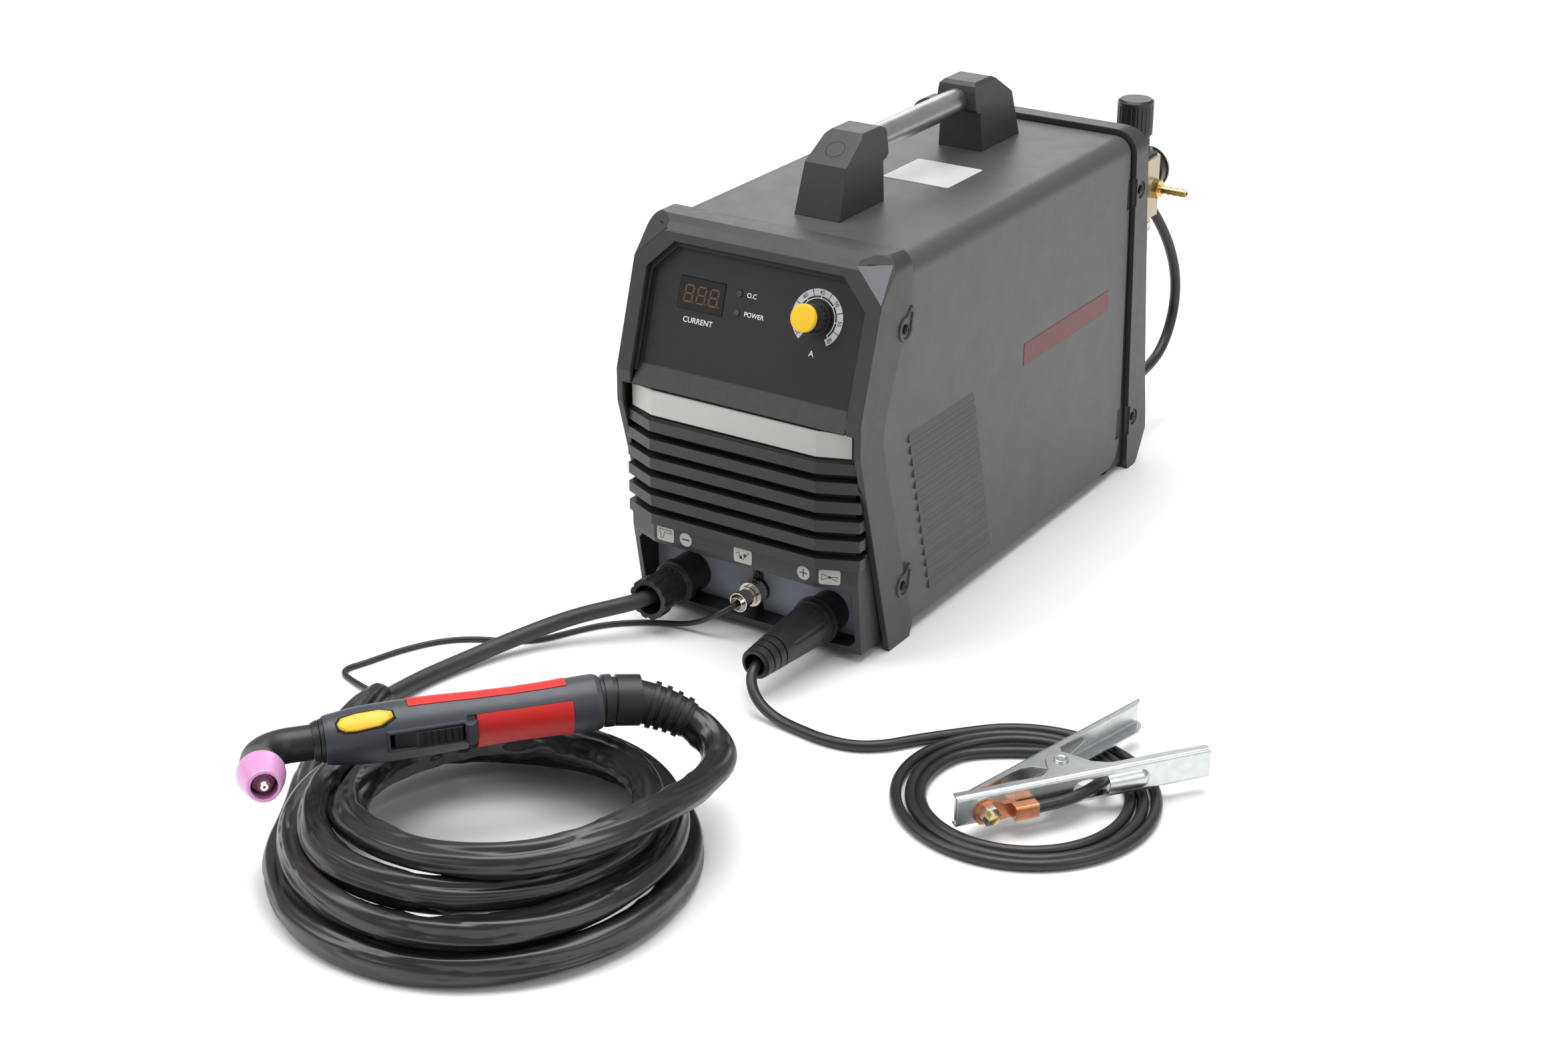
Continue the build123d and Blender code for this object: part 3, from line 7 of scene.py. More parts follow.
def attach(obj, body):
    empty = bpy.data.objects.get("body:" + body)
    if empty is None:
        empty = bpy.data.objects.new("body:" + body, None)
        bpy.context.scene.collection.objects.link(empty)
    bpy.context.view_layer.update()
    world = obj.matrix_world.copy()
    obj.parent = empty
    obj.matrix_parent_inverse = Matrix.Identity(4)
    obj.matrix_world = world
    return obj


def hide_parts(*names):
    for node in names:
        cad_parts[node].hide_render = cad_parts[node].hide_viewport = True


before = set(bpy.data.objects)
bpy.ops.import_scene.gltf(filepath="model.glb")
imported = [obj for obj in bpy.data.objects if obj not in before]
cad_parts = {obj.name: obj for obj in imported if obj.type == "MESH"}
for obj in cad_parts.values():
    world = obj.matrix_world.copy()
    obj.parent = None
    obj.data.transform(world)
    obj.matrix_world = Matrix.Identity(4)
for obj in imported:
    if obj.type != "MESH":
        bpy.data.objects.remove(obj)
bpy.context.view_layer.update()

random.seed(4)
MM = 0.001
scene = bpy.context.scene
scene.view_settings.view_transform = "Standard"
scene.view_settings.look = "None"


# ------------------------------------------------------------------ materials
def new_mat(name, col, rough=0.5, metal=0.0, grain=0.0, grain_scale=900.0, var=0.12, var_scale=25.0, bevel=0.0,
            coat=0.0, coat_rough=0.1, sheen=0.0, spec=0.5, rough_var=0.08, brushed=False, alpha=1.0, transmission=0.0,
            wrinkle=0.0, wrinkle_scale=60.0, ior=1.5, crease=0.0):
    m = bpy.data.materials.new(name)
    m.use_nodes = True
    nt = m.node_tree
    b = nt.nodes["Principled BSDF"]
    b.inputs["Base Color"].default_value = (*col, 1)
    b.inputs["Roughness"].default_value = rough
    b.inputs["Metallic"].default_value = metal
    b.inputs["Specular IOR Level"].default_value = spec
    b.inputs["IOR"].default_value = ior
    b.inputs["Coat Weight"].default_value = coat
    b.inputs["Coat Roughness"].default_value = coat_rough
    b.inputs["Sheen Weight"].default_value = sheen
    b.inputs["Alpha"].default_value = alpha
    b.inputs["Transmission Weight"].default_value = transmission
    tc = nt.nodes.new("ShaderNodeTexCoord")
    if var:
        n = nt.nodes.new("ShaderNodeTexNoise")
        n.inputs["Scale"].default_value = var_scale
        n.inputs["Detail"].default_value = 4
        nt.links.new(tc.outputs["Object"], n.inputs["Vector"])
        r = nt.nodes.new("ShaderNodeValToRGB")
        r.color_ramp.elements[0].position = 0.3
        r.color_ramp.elements[1].position = 0.7
        r.color_ramp.elements[0].color = (*[c * (1 - var) for c in col], 1)
        r.color_ramp.elements[1].color = (*[min(1, c * (1 + var)) for c in col], 1)
        nt.links.new(n.outputs["Fac"], r.inputs["Fac"])
        nt.links.new(r.outputs["Color"], b.inputs["Base Color"])
        if rough_var:
            mr = nt.nodes.new("ShaderNodeMapRange")
            mr.inputs["To Min"].default_value = max(0.02, rough - rough_var)
            mr.inputs["To Max"].default_value = min(1, rough + rough_var)
            n2 = nt.nodes.new("ShaderNodeTexNoise")
            n2.inputs["Scale"].default_value = var_scale * 5
            n2.inputs["Detail"].default_value = 3
            nt.links.new(tc.outputs["Object"], n2.inputs["Vector"])
            nt.links.new(n2.outputs["Fac"], mr.inputs["Value"])
            nt.links.new(mr.outputs["Result"], b.inputs["Roughness"])
    last = None
    if bevel:
        bv = nt.nodes.new("ShaderNodeBevel")
        bv.samples = 4
        bv.inputs["Radius"].default_value = bevel
        last = bv.outputs["Normal"]
    if wrinkle:
        w = nt.nodes.new("ShaderNodeTexNoise")
        w.inputs["Scale"].default_value = wrinkle_scale
        w.inputs["Detail"].default_value = 5
        w.inputs["Distortion"].default_value = 0.8
        nt.links.new(tc.outputs["Object"], w.inputs["Vector"])
        bu = nt.nodes.new("ShaderNodeBump")
        bu.inputs["Strength"].default_value = wrinkle
        bu.inputs["Distance"].default_value = 0.002
        nt.links.new(w.outputs["Fac"], bu.inputs["Height"])
        if last is not None:
            nt.links.new(last, bu.inputs["Normal"])
        last = bu.outputs["Normal"]
    if grain:
        g = nt.nodes.new("ShaderNodeTexNoise")
        g.inputs["Scale"].default_value = grain_scale
        g.inputs["Detail"].default_value = 2
        if brushed:
            mp = nt.nodes.new("ShaderNodeMapping")
            mp.inputs["Scale"].default_value = (1.0, 0.04, 1.0)
            nt.links.new(tc.outputs["Object"], mp.inputs["Vector"])
            nt.links.new(mp.outputs["Vector"], g.inputs["Vector"])
        else:
            nt.links.new(tc.outputs["Object"], g.inputs["Vector"])
        bu = nt.nodes.new("ShaderNodeBump")
        bu.inputs["Strength"].default_value = grain
        bu.inputs["Distance"].default_value = 0.0004
        nt.links.new(g.outputs["Fac"], bu.inputs["Height"])
        if last is not None:
            nt.links.new(last, bu.inputs["Normal"])
        last = bu.outputs["Normal"]
    if last is not None:
        nt.links.new(last, b.inputs["Normal"])
    return m


M = {}
M["bezel"] = new_mat("bezel", (0.034, 0.034, 0.036), 0.40, grain=0.25, grain_scale=1500, bevel=0.0012, var=0.06)
M["grille"] = new_mat("grille", (0.022, 0.0225, 0.0245), 0.42, grain=0.2, grain_scale=1500, bevel=0.0008, var=0.06)
M["plate"] = new_mat("plate", (0.26, 0.28, 0.34), 0.45, grain=0.12, bevel=0.0005, var=0.05)
M["panel"] = new_mat("panel", (0.011, 0.011, 0.013), 0.48, grain=0.15, grain_scale=2200, bevel=0.0012, var=0.06)
M["silver"] = new_mat("silver", (0.47, 0.47, 0.45), 0.36, metal=0.45, grain=0.25, grain_scale=2600, bevel=0.0004, var=0.05, var_scale=1200, rough_var=0.12)
# lighter facet colour is a painted highlight, used only on the right corner facet
M["facet"] = new_mat("facet", (0.15, 0.147, 0.16), 0.42, metal=0.5, grain=0.3, grain_scale=2400, var=0.08, var_scale=1500)
M["window"] = new_mat("window", (0.012, 0.009, 0.008), 0.16, var=0.02, coat=0.4)
M["seg"] = new_mat("segments", (0.10, 0.055, 0.03), 0.5, var=0.05, grain=0.05)
M["lens"] = new_mat("lens", (0.05, 0.05, 0.035), 0.25, var=0.05, coat=0.5)
M["black"] = new_mat("black_plastic", (0.014, 0.014, 0.015), 0.36, grain=0.12, grain_scale=1500, bevel=0.0006, var=0.08)
M["black_gloss"] = new_mat("black_gloss", (0.010, 0.010, 0.011), 0.22, grain=0.05, bevel=0.0006, var=0.05)
M["yellow"] = new_mat("yellow_cap", (0.86, 0.52, 0.02), 0.38, grain=0.08, bevel=0.0006, var=0.03)
M["cover"] = new_mat("cover_paint", (0.066, 0.066, 0.067), 0.40, grain=0.45, grain_scale=1300, bevel=0.001, var=0.04, var_scale=10)
M["blackpaint"] = new_mat("black_paint", (0.02, 0.02, 0.021), 0.5, grain=0.3, grain_scale=1300, bevel=0.0008)
M["screw"] = new_mat("screw_black", (0.03, 0.03, 0.032), 0.32, metal=0.7, grain=0.1, bevel=0.0003)
M["tube"] = new_mat("tube_zinc", (0.46, 0.47, 0.48), 0.30, metal=1.0, grain=0.25, grain_scale=1400, brushed=True, var=0.08, var_scale=60)
M["brass"] = new_mat("brass", (0.72, 0.50, 0.20), 0.26, metal=1.0, grain=0.15, bevel=0.0004, var=0.08)
M["nickel"] = new_mat("nickel", (0.66, 0.62, 0.56), 0.16, metal=1.0, grain=0.08, bevel=0.0004, var=0.06)
M["rubber"] = new_mat("rubber", (0.012, 0.012, 0.013), 0.42, grain=0.2, grain_scale=700, bevel=0.0006, var=0.1)
M["hose"] = new_mat("hose_rubber", (0.020, 0.021, 0.020), 0.45, grain=0.8, grain_scale=900, var=0.15, var_scale=300)
M["champagne"] = new_mat("champagne", (0.50, 0.43, 0.31), 0.34, metal=0.6, grain=0.3, grain_scale=1200, bevel=0.0008, var=0.06)
M["bowl"] = new_mat("bowl", (0.72, 0.75, 0.76), 0.1, var=0.03, transmission=0.85, ior=1.45)
M["white"] = new_mat("white_rim", (0.75, 0.75, 0.74), 0.3, grain=0.05, var=0.03)
M["board"] = new_mat("board", (0.01, 0.09, 0.03), 0.4, grain=0.1)
M["alu"] = new_mat("alu", (0.6, 0.6, 0.62), 0.35, metal=1.0, grain=0.2, brushed=True)
M["torch"] = new_mat("torch_plastic", (0.044, 0.048, 0.062), 0.38, grain=0.16, grain_scale=1800, bevel=0.0008, var=0.06)
M["red"] = new_mat("red_grip", (0.60, 0.012, 0.010), 0.46, grain=0.25, grain_scale=1600, var=0.06)
M["pink"] = new_mat("pink_ceramic", (0.66, 0.30, 0.56), 0.33, grain=0.06, var=0.05, coat=0.25, coat_rough=0.2)
M["sleeve"] = new_mat("sleeve", (0.012, 0.012, 0.013), 0.30, grain=0.05, grain_scale=1000, wrinkle=0.10, wrinkle_scale=24, var=0.15, var_scale=40, rough_var=0.04, spec=0.62)
M["cable"] = new_mat("cable_rubber", (0.014, 0.014, 0.015), 0.38, grain=0.15, grain_scale=800, var=0.12, var_scale=60)
M["zinc"] = new_mat("zinc", (0.61, 0.63, 0.64), 0.34, metal=1.0, grain=0.06, grain_scale=420, bevel=0.0005, var=0.07, var_scale=160, rough_var=0.06)
M["copper"] = new_mat("copper", (0.62, 0.26, 0.135), 0.34, metal=1.0, grain=0.4, grain_scale=900, bevel=0.0004, var=0.15, var_scale=120)
M["nut"] = new_mat("nut_zinc", (0.66, 0.67, 0.68), 0.22, metal=1.0, grain=0.1, bevel=0.0005, var=0.08, var_scale=200)
M["yzinc"] = new_mat("yellow_zinc", (0.74, 0.60, 0.28), 0.28, metal=1.0, grain=0.15, bevel=0.0003, var=0.18, var_scale=200)
M["sticker"] = new_mat("sticker", (0.42, 0.44, 0.39), 0.42, grain=0.05, var=0.04)
M["ink"] = new_mat("ink", (0.05, 0.05, 0.055), 0.5, var=0.02)
M["print"] = new_mat("white_print", (0.80, 0.80, 0.80), 0.5, var=0.03, var_scale=300)
M["dial"] = new_mat("dial_ring", (0.52, 0.53, 0.55), 0.42, var=0.03)
M["stripe"] = new_mat("dark_red", (0.12, 0.012, 0.014), 0.4, grain=0.15, var=0.05)
M["label"] = new_mat("pale_label", (0.55, 0.55, 0.54), 0.45, grain=0.1, var=0.04)

CAD_MATS = dict(front_bezel="bezel", front_grille="grille", connector_plate="plate", trim_strip="silver", control_panel="panel", display_window="window",
                indicator_lenses="lens", control_board="board", current_knob="black", case_cover="cover", base_plate="blackpaint", rear_panel="blackpaint",
                rear_bezel="bezel", case_screws="screw", handle_blocks="bezel", handle_tube="tube", lead_sockets="black_gloss", trigger_socket="black_gloss",
                torch_plug="black", torch_plug_gland="brass", trigger_plug="nickel", earth_plug="rubber", power_switch_body="black", power_rocker="black_gloss",
                mains_gland="black", fan_frame="black", fan_rotor="black", solenoid_valve="brass", air_hose_fittings="brass", regulator_body="champagne",
                regulator_bonnet="black", regulator_knob="black", regulator_bracket="blackpaint", regulator_bowl="bowl", pressure_gauge="black",
                air_inlet_barb="brass", power_board="board", heatsinks="alu", transformer="blackpaint", torch_handle="torch", torch_grips="red",
                torch_trigger="black", torch_head="rubber", torch_shield_cup="pink", torch_nozzle="nickel", torch_bend_relief="rubber",
                clamp_lower_arm="zinc", clamp_upper_arm="zinc", clamp_upper_shoe="copper", clamp_lower_shoe="copper", clamp_spring="zinc",
                clamp_lug="copper", clamp_bolt="nut")
for node, mk in CAD_MATS.items():
    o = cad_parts[node]
    for s in o.material_slots:
        s.link = "OBJECT"
        s.material = M[mk]


# -------------------------------------------------------------------- helpers
def mesh_obj(name, verts, faces, mat, smooth=True, mm=True):
    me = bpy.data.meshes.new(name)
    k = MM if mm else 1.0
    me.from_pydata([Vector(v) * k for v in verts], [], faces)
    me.validate()
    if smooth:
        for p in me.polygons:
            p.use_smooth = True
    o = bpy.data.objects.new(name, me)
    scene.collection.objects.link(o)
    me.materials.append(M[mat] if isinstance(mat, str) else mat)
    return o


def sharp(o, deg=35):
    o.data.set_sharp_from_angle(angle=math.radians(deg))
    return o


class Frame3:
    # an origin with three axes, in millimetres
    def __init__(self, o, x, y, z):
        self.o, self.x, self.y, self.z = Vector(o), Vector(x).normalized(), Vector(y).normalized(), Vector(z).normalized()

    def __call__(self, a, b, c):
        return self.o + self.x * a + self.y * b + self.z * c


def plate(name, fr, poly, z0, z1, mat, bevel=0.0, seg=2):
    # flat prism of an outline in a local frame
    n = len(poly)
    vs = [fr(x, y, z0) for (x, y) in poly] + [fr(x, y, z1) for (x, y) in poly]
    fs = [tuple(range(n - 1, -1, -1)), tuple(range(n, 2 * n))] + [(i, (i + 1) % n, n + (i + 1) % n, n + i) for i in range(n)]
    o = mesh_obj(name, vs, fs, mat, smooth=True)
    if bevel:
        b = o.modifiers.new("b", "BEVEL")
        b.width = bevel * MM
        b.segments = seg
        b.limit_method = "ANGLE"
    sharp(o)
    return o


def rrect(w, h, r, n=5, cx=0.0, cy=0.0):
    out = []
    for (sx, sy, a0) in ((1, 1, 0), (-1, 1, 90), (-1, -1, 180), (1, -1, 270)):
        for i in range(n + 1):
            a = math.radians(a0 + 90 * i / n)
            out.append((cx + sx * (w / 2 - r) + r * math.cos(a), cy + sy * (h / 2 - r) + r * math.sin(a)))
    return out


def lathe(name, fr, prof, mat, seg=64, closed=False, wob=None):
    # profile (along z, radius) turned about the local z axis
    vs, fs = [], []
    for (z, r) in prof:
        for i in range(seg):
            a = 2 * math.pi * i / seg
            rr = r if wob is None else wob(z, a, r)
            vs.append(fr(rr * math.cos(a), rr * math.sin(a), z))
    for j in range(len(prof) - 1):
        for i in range(seg):
            k = (i + 1) % seg
            fs.append((j * seg + i, j * seg + k, (j + 1) * seg + k, (j + 1) * seg + i))
    if prof[0][1] > 1e-6:
        fs.append(tuple(range(seg - 1, -1, -1)))
    if prof[-1][1] > 1e-6:
        fs.append(tuple(range((len(prof) - 1) * seg, len(prof) * seg)))
    o = mesh_obj(name, vs, fs, mat)
    sharp(o, 40)
    return o


def text(name, s, fr, x, y, size, depth, mat, align="CENTER", rot=0.0, bold=0.0):
    cu = bpy.data.curves.new(name, "FONT")
    cu.body = s
    cu.size = size * MM
    cu.align_x = align
    cu.align_y = "CENTER"
    cu.extrude = 0.00004
    cu.offset = bold * MM
    t = bpy.data.objects.new(name + "_c", cu)
    scene.collection.objects.link(t)
    dg = bpy.context.evaluated_depsgraph_get()
    me = bpy.data.meshes.new_from_object(t.evaluated_get(dg))
    bpy.data.objects.remove(t)
    bpy.data.curves.remove(cu)
    me.name = name
    c, sn = math.cos(rot), math.sin(rot)
    for v in me.vertices:
        px, py, pz = v.co.x / MM, v.co.y / MM, v.co.z / MM
        v.co = fr(x + px * c - py * sn, y + px * sn + py * c, depth + pz) * MM
    o = bpy.data.objects.new(name, me)
    scene.collection.objects.link(o)
    me.materials.clear()
    me.materials.append(M[mat])
    return o


def ride(o, body="unit"):
    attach(o, body)
    return o


# ----------------------------------------------------------------- the cords
def nurbs(name, pts, d=None, mat=None, res=10):
    cu = bpy.data.curves.new(name, "CURVE")
    cu.dimensions = "3D"
    cu.resolution_u = res
    sp = cu.splines.new("NURBS")
    sp.points.add(len(pts) - 1)
    for p, q in zip(sp.points, pts):
        p.co = (q[0] * MM, q[1] * MM, q[2] * MM, 1)
    sp.order_u = 3
    sp.use_endpoint_u = True
    if d:
        cu.bevel_depth = d / 2 * MM
        cu.bevel_resolution = 7
        cu.use_fill_caps = True
    o = bpy.data.objects.new(name, cu)
    scene.collection.objects.link(o)
    if mat:
        cu.materials.append(M[mat])
    return o


def spline_points(pts, res=10):
    o = nurbs("tmp_route", pts, res=res)
    dg = bpy.context.evaluated_depsgraph_get()
    me = bpy.data.meshes.new_from_object(o.evaluated_get(dg))
    out = [v.co.copy() for v in me.vertices]
    cu = o.data
    bpy.data.objects.remove(o)
    bpy.data.curves.remove(cu)
    bpy.data.meshes.remove(me)
    return out


def even(path, step):
    out, acc = [path[0]], 0.0
    for a, b in zip(path, path[1:]):
        L = (b - a).length
        while acc + L >= step:
            t = (step - acc) / L
            a = a.lerp(b, t)
            out.append(a.copy())
            L = (b - a).length
            acc = 0.0
        acc += L
    if (out[-1] - path[-1]).length > step * 0.3:
        out.append(path[-1])
    else:
        out[-1] = path[-1]
    return out


def frames_along(path):
    ts = []
    for i in range(len(path)):
        a = path[max(0, i - 1)]
        b = path[min(len(path) - 1, i + 1)]
        ts.append((b - a).normalized())
    up = Vector((0, 0, 1))
    n = (up - ts[0] * up.dot(ts[0])).normalized()
    ns = []
    for t in ts:
        # lean back to the vertical a little, so the section does not twist
        n = (n - t * n.dot(t)).normalized()
        v = up - t * up.dot(t)
        if v.length > 0.2:
            n = (n * 0.8 + v.normalized() * 0.2).normalized()
        ns.append(n.copy())
    return ts, ns


AIR = [(43, 287.4, 250), (43, 304, 250), (44.5, 322, 245), (52, 343, 229), (62, 366, 202), (70, 388, 166), (73.5, 402, 128),
       (74, 400, 92), (73.8, 379, 62), (73.3, 346, 51.5), (73, 307, 50.5), (73, 270, 52), (73, 238.2, 52)]
HOSE = [(-66, -252.0, 31), (-66, -274, 31), (-73.5, -296, 30.4), (-87, -311, 28.0), (-103, -325, 24.0), (-118, -341, 19.2),
        (-131, -360, 14.5), (-143, -383, 10.5), (-153, -411, 7.6), (-161.5, -446, 6.9), (-163.8, -474, 7.6), (-161.1, -497.4, 10.5)]
TRIG = [(-2, -248.5, 31), (-2.6, -256.4, 30.4), (-9, -262.5, 26), (-18, -265, 20), (-30, -265, 12), (-46, -265, 5.0), (-66, -269, 2.7),
        (-86, -280, 2.4), (-104, -297, 2.6), (-117, -318, 2.3), (-131, -347, 2.5), (-152, -362, 2.3), (-177, -373, 2.5), (-198, -391, 2.3),
        (-213.5, -420, 2.5), (-223, -452, 2.4), (-229, -466, 2.5), (-225.5, -475, 2.4), (-210, -480, 2.6), (-190, -486.5, 4.4),
        (-176, -492.3, 8.6), (-170.1, -500.4, 11.0)]
LEAD_IN = [(-164, -500, 11.6), (-157.5, -529, 11.9), (-148, -560, 11.6), (-137.5, -590, 11.9), (-126, -618, 11.6)]
Q2, DN = Vector((112.9, -484.0, 67.0)), Vector((0.8424, 0.2652, -0.4690))
LEAD_OUT = [tuple(Q2 - DN * 7.2), tuple(Q2 + DN * 8.5), (136.5, -486.5, 57.0), (149.5, -503, 55.5), (159, -530, 58.5), (165, -563, 64.5), (166.6, -598, 70.5)]
CC = (41.5, -627.0)
KEYS = [(195, 142, 11.7), (232, 142, 11.7), (270, 141, 11.7), (315, 141, 11.7), (360, 140, 11.7), (405, 140, 11.7), (450, 139, 11.7), (485, 139, 13.5),
        (515, 138, 20), (540, 136, 29), (565, 134, 33), (600, 132, 33), (630, 131, 32.5), (675, 130, 32.5), (720, 130, 32.5), (765, 130, 32.5),
        (810, 129, 32.5), (845, 127, 34), (880, 122, 41), (915, 117, 48.5), (950, 114, 49), (990, 113, 48), (1035, 112, 48), (1080, 112, 48),
        (1125, 111, 46), (1170, 107, 43.5), (1205, 104, 43), (1235, 99, 43.5), (1275, 93, 45), (1305, 93, 52), (1330, 95, 61), (1350, 98, 66.5),
        (1385, 104, 70), (1415, 112, 71.5), (1438, 121, 71.5)]


def coil_at(phi):
    for (a, ra, za), (b, rb, zb) in zip(KEYS, KEYS[1:]):
        if phi <= b:
            t = (phi - a) / (b - a)
            t = t * t * (3 - 2 * t) * 0.5 + t * 0.5
            return ra + (rb - ra) * t, za + (zb - za) * t
    return KEYS[-1][1], KEYS[-1][2]


coil_pts = []
phi = 195.0
while phi <= 1438.1:
    r, z = coil_at(phi)
    w_ = min(1.0, (phi - 195) / 60.0, (1438.1 - phi) / 60.0)
    r += w_ * (1.6 * math.sin(math.radians(phi * 2.3 + 40)) + 5.0 * noise.noise(Vector((phi / 75.0, 3.7, 0.4))))
    z += w_ * max(-0.6 if z < 14 else -2.0, 3.4 * noise.noise(Vector((phi / 60.0, 9.1, 5.2))))
    r = min(r, 142.6)
    a = math.radians(phi)
    coil_pts.append((CC[0] + r * math.cos(a), CC[1] + r * math.sin(a), z))
    phi += 22.6
LEAD = LEAD_IN + coil_pts + LEAD_OUT[::-1]

EC = (309.0, -355.0)
E_IN = [(67, -321.3, 31), (67, -335, 30.3), (72.5, -347, 21.5), (85, -353.5, 11.2), (103, -356.5, 5.2), (124, -359.5, 4.4),
        (148, -362.5, 4.6), (172, -358.5, 4.4), (191, -345, 4.6), (202.5, -328.5, 4.4)]
CX, CY, C0 = (0.60075, 0.79944), (-0.79944, 0.60075), (297.0, -427.5)


def cw(s, y, z):
    return (C0[0] + s * CX[0] + y * CY[0], C0[1] + s * CX[1] + y * CY[1], z)


E_OUT = [cw(*p) for p in [(50.2, -6.0, 19.6), (66, -6.0, 19.8), (82, -5.8, 20.6), (97, -1.8, 21.2), (109.5, 5.0, 20.2), (118.5, 12.5, 17.2), (125.0, 21.0, 12.6),
                          (129.5, 30.0, 8.0), (132.0, 42, 5.0), (132.0, 54, 4.4), (130.0, 66.0, 4.4), (125.0, 78.0, 4.4)]]
ering = []
phi = 148.0
while phi > -942:
    t = (148.0 - phi) / 1090.0
    r = 99.5 - 27.5 * t + 1.9 * math.sin(math.radians(phi + 20)) + 1.2 * math.sin(math.radians(1.6 * phi))
    z = 4.45
    a = math.radians(phi)
    ering.append((EC[0] + r * math.cos(a), EC[1] + r * math.sin(a), z))
    phi -= 24.0
EARTH = E_IN + ering + E_OUT[::-1]


def length_of(pts):
    p = spline_points(pts)
    return sum((b - a).length for a, b in zip(p, p[1:]))


def leather_tube(name, pts, d, mat):
    path = even(spline_points(pts, 12), 0.0028)
    ts, ns = frames_along(path)
    seg = 56
    vs, fs = [], []
    R = d / 2 * MM
    acc = 0.0
    n = len(path)
    for i, (p, t, nn) in enumerate(zip(path, ts, ns)):
        if i:
            acc += (path[i] - path[i - 1]).length
        bn = t.cross(nn)
        end = min(1.0, min(i, n - 1 - i) / 6.0)
        # the side that faces the middle of the bend crumples
        inw = Vector((CC[0] * MM, CC[1] * MM, p.z)) - p
        inw = inw.normalized() if inw.length > 1e-6 else nn
        for k in range(seg):
            a = 2 * math.pi * k / seg
            ca, sa = math.cos(a), math.sin(a)
            tw = a + 0.9 * math.sin(acc * 3.1) + 0.5 * math.sin(acc * 7.7)
            ct, st = math.cos(tw), math.sin(tw)
            side = max(0.0, (nn * ca + bn * sa).dot(inw))
            # long pleats that run with the sleeve
            f = noise.noise(Vector((ct * 1.25, st * 1.25, acc / 0.16)))
            g = noise.noise(Vector((ct * 2.3 + 7, st * 2.3, acc / 0.075)))
            h = noise.noise(Vector((ct * 2.0 - 4, st * 2.0 + 2, acc / 0.045)))
            cr = 1.0 - min(1.0, abs(noise.noise(Vector((ct * 1.6 + 3, st * 1.6 - 5, acc / 0.085)))) * 7.0)
            # short gathers on the inner side, sharp at their crests
            q = abs(noise.noise(Vector((ct * 0.8 + 11, st * 0.8, acc / 0.026))))
            gather = (0.30 - q * 1.5) * side * side
            flat = 0.075 * math.cos(2 * (a - 1.1 * math.sin(acc * 5.3) - 0.4))
            k_ = 1.03 + end * (0.26 * f + 0.13 * g + 0.05 * h + flat - 0.10 * cr * cr + 0.40 * gather)
            rr = R * max(0.765, min(1.27, k_))
            v = p + (nn * ca + bn * sa) * rr
            if v.z < 0.0002:
                v.z = 0.0002
            vs.append(v / MM)
    for i in range(n - 1):
        for k in range(seg):
            j = (k + 1) % seg
            fs.append((i * seg + k, (i + 1) * seg + k, (i + 1) * seg + j, i * seg + j))
    fs.append(tuple(range(seg)))
    fs.append(tuple(range(n * seg - 1, (n - 1) * seg - 1, -1)))
    o = mesh_obj(name, vs, fs, mat)
    return o, path


L_LEAD = length_of(LEAD)
L_EARTH = length_of(EARTH)
L_HOSE = length_of(HOSE)
L_TRIG = length_of(TRIG)
L_AIR = length_of(AIR)
print("lengths", round(L_LEAD, 3), round(L_EARTH, 3), round(L_HOSE, 3), round(L_TRIG, 3), round(L_AIR, 3))


lead, lead_path = leather_tube("sleeved_lead", LEAD, 23.0, "sleeve")
ride(lead)
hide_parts("torch_lead", "torch_lead_coil")
hose = ride(nurbs("bare_hose", HOSE, 13.0, "hose"))
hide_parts("torch_hose")
trig = ride(nurbs("trigger_wire", TRIG, 4.4, "cable"))
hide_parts("trigger_cable")
earth = ride(nurbs("earth_lead", EARTH, 8.5, "cable"))
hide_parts("earth_cable", "earth_cable_coil")
air = ride(nurbs("air_tube", AIR, 10.0, "cable"))
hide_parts("air_hose")

# ------------------------------------------------------------- panel graphics
ANG = math.atan2(27.6, 86.0)
PN = Vector((0, -math.cos(ANG), math.sin(ANG)))
PV = Vector((0, math.sin(ANG), math.cos(ANG)))
PF = Frame3((0, -256.8, 211.0), (1, 0, 0), PV, PN)
DEP = -9.0          # panel floor
KX, KV = 55.0, (279.5 - 211.0) / math.cos(ANG)


def arc_band(name, fr, cx, cy, r0, r1, a0, a1, z, mat, n=60):
    vs, fs = [], []
    for i in range(n + 1):
        a = math.radians(a0 + (a1 - a0) * i / n)
        for r in (r0, r1):
            vs.append(fr(cx + r * math.sin(a), cy + r * math.cos(a), z))
    for i in range(n):
        fs.append((2 * i, 2 * i + 1, 2 * i + 3, 2 * i + 2))
    return mesh_obj(name, vs, fs, mat, smooth=False)


ride(arc_band("dial_ring", PF, KX, KV, 17.3, 22.6, -143, 148, DEP + 0.06, "dial"))
ride(arc_band("dial_arc", PF, KX, KV, 15.2, 15.8, -130, 136, DEP + 0.06, "print"))
for i, num in enumerate(("30", "35", "40", "45", "50", "55", "60")):
    a = math.radians(-131 + 44.6 * i)
    ride(text("dial_%s" % num, num, PF, KX + 19.9 * math.sin(a), KV + 19.9 * math.cos(a), 4.6, DEP + 0.16, "ink", rot=-a, bold=0.02))
    x0, y0 = KX + 15.5 * math.sin(a), KV + 15.5 * math.cos(a)
    fr = Frame3(PF(x0, y0, 0), PF.x * math.cos(a) - PF.y * math.sin(a), PF.x * math.sin(a) + PF.y * math.cos(a), PN)
    ride(plate("tick_%d" % i, fr, [(-0.3, -0.2), (0.3, -0.2), (0.3, 1.7), (-0.3, 1.7)], DEP + 0.04, DEP + 0.1, "print"))
    if i < 6:
        a2 = math.radians(-131 + 44.6 * (i + 0.5))
        ride(arc_band("dial_gap_%d" % i, PF, KX, KV, 17.2, 22.7, math.degrees(a2) - 0.9, math.degrees(a2) + 0.9, DEP + 0.12, "panel", 3))
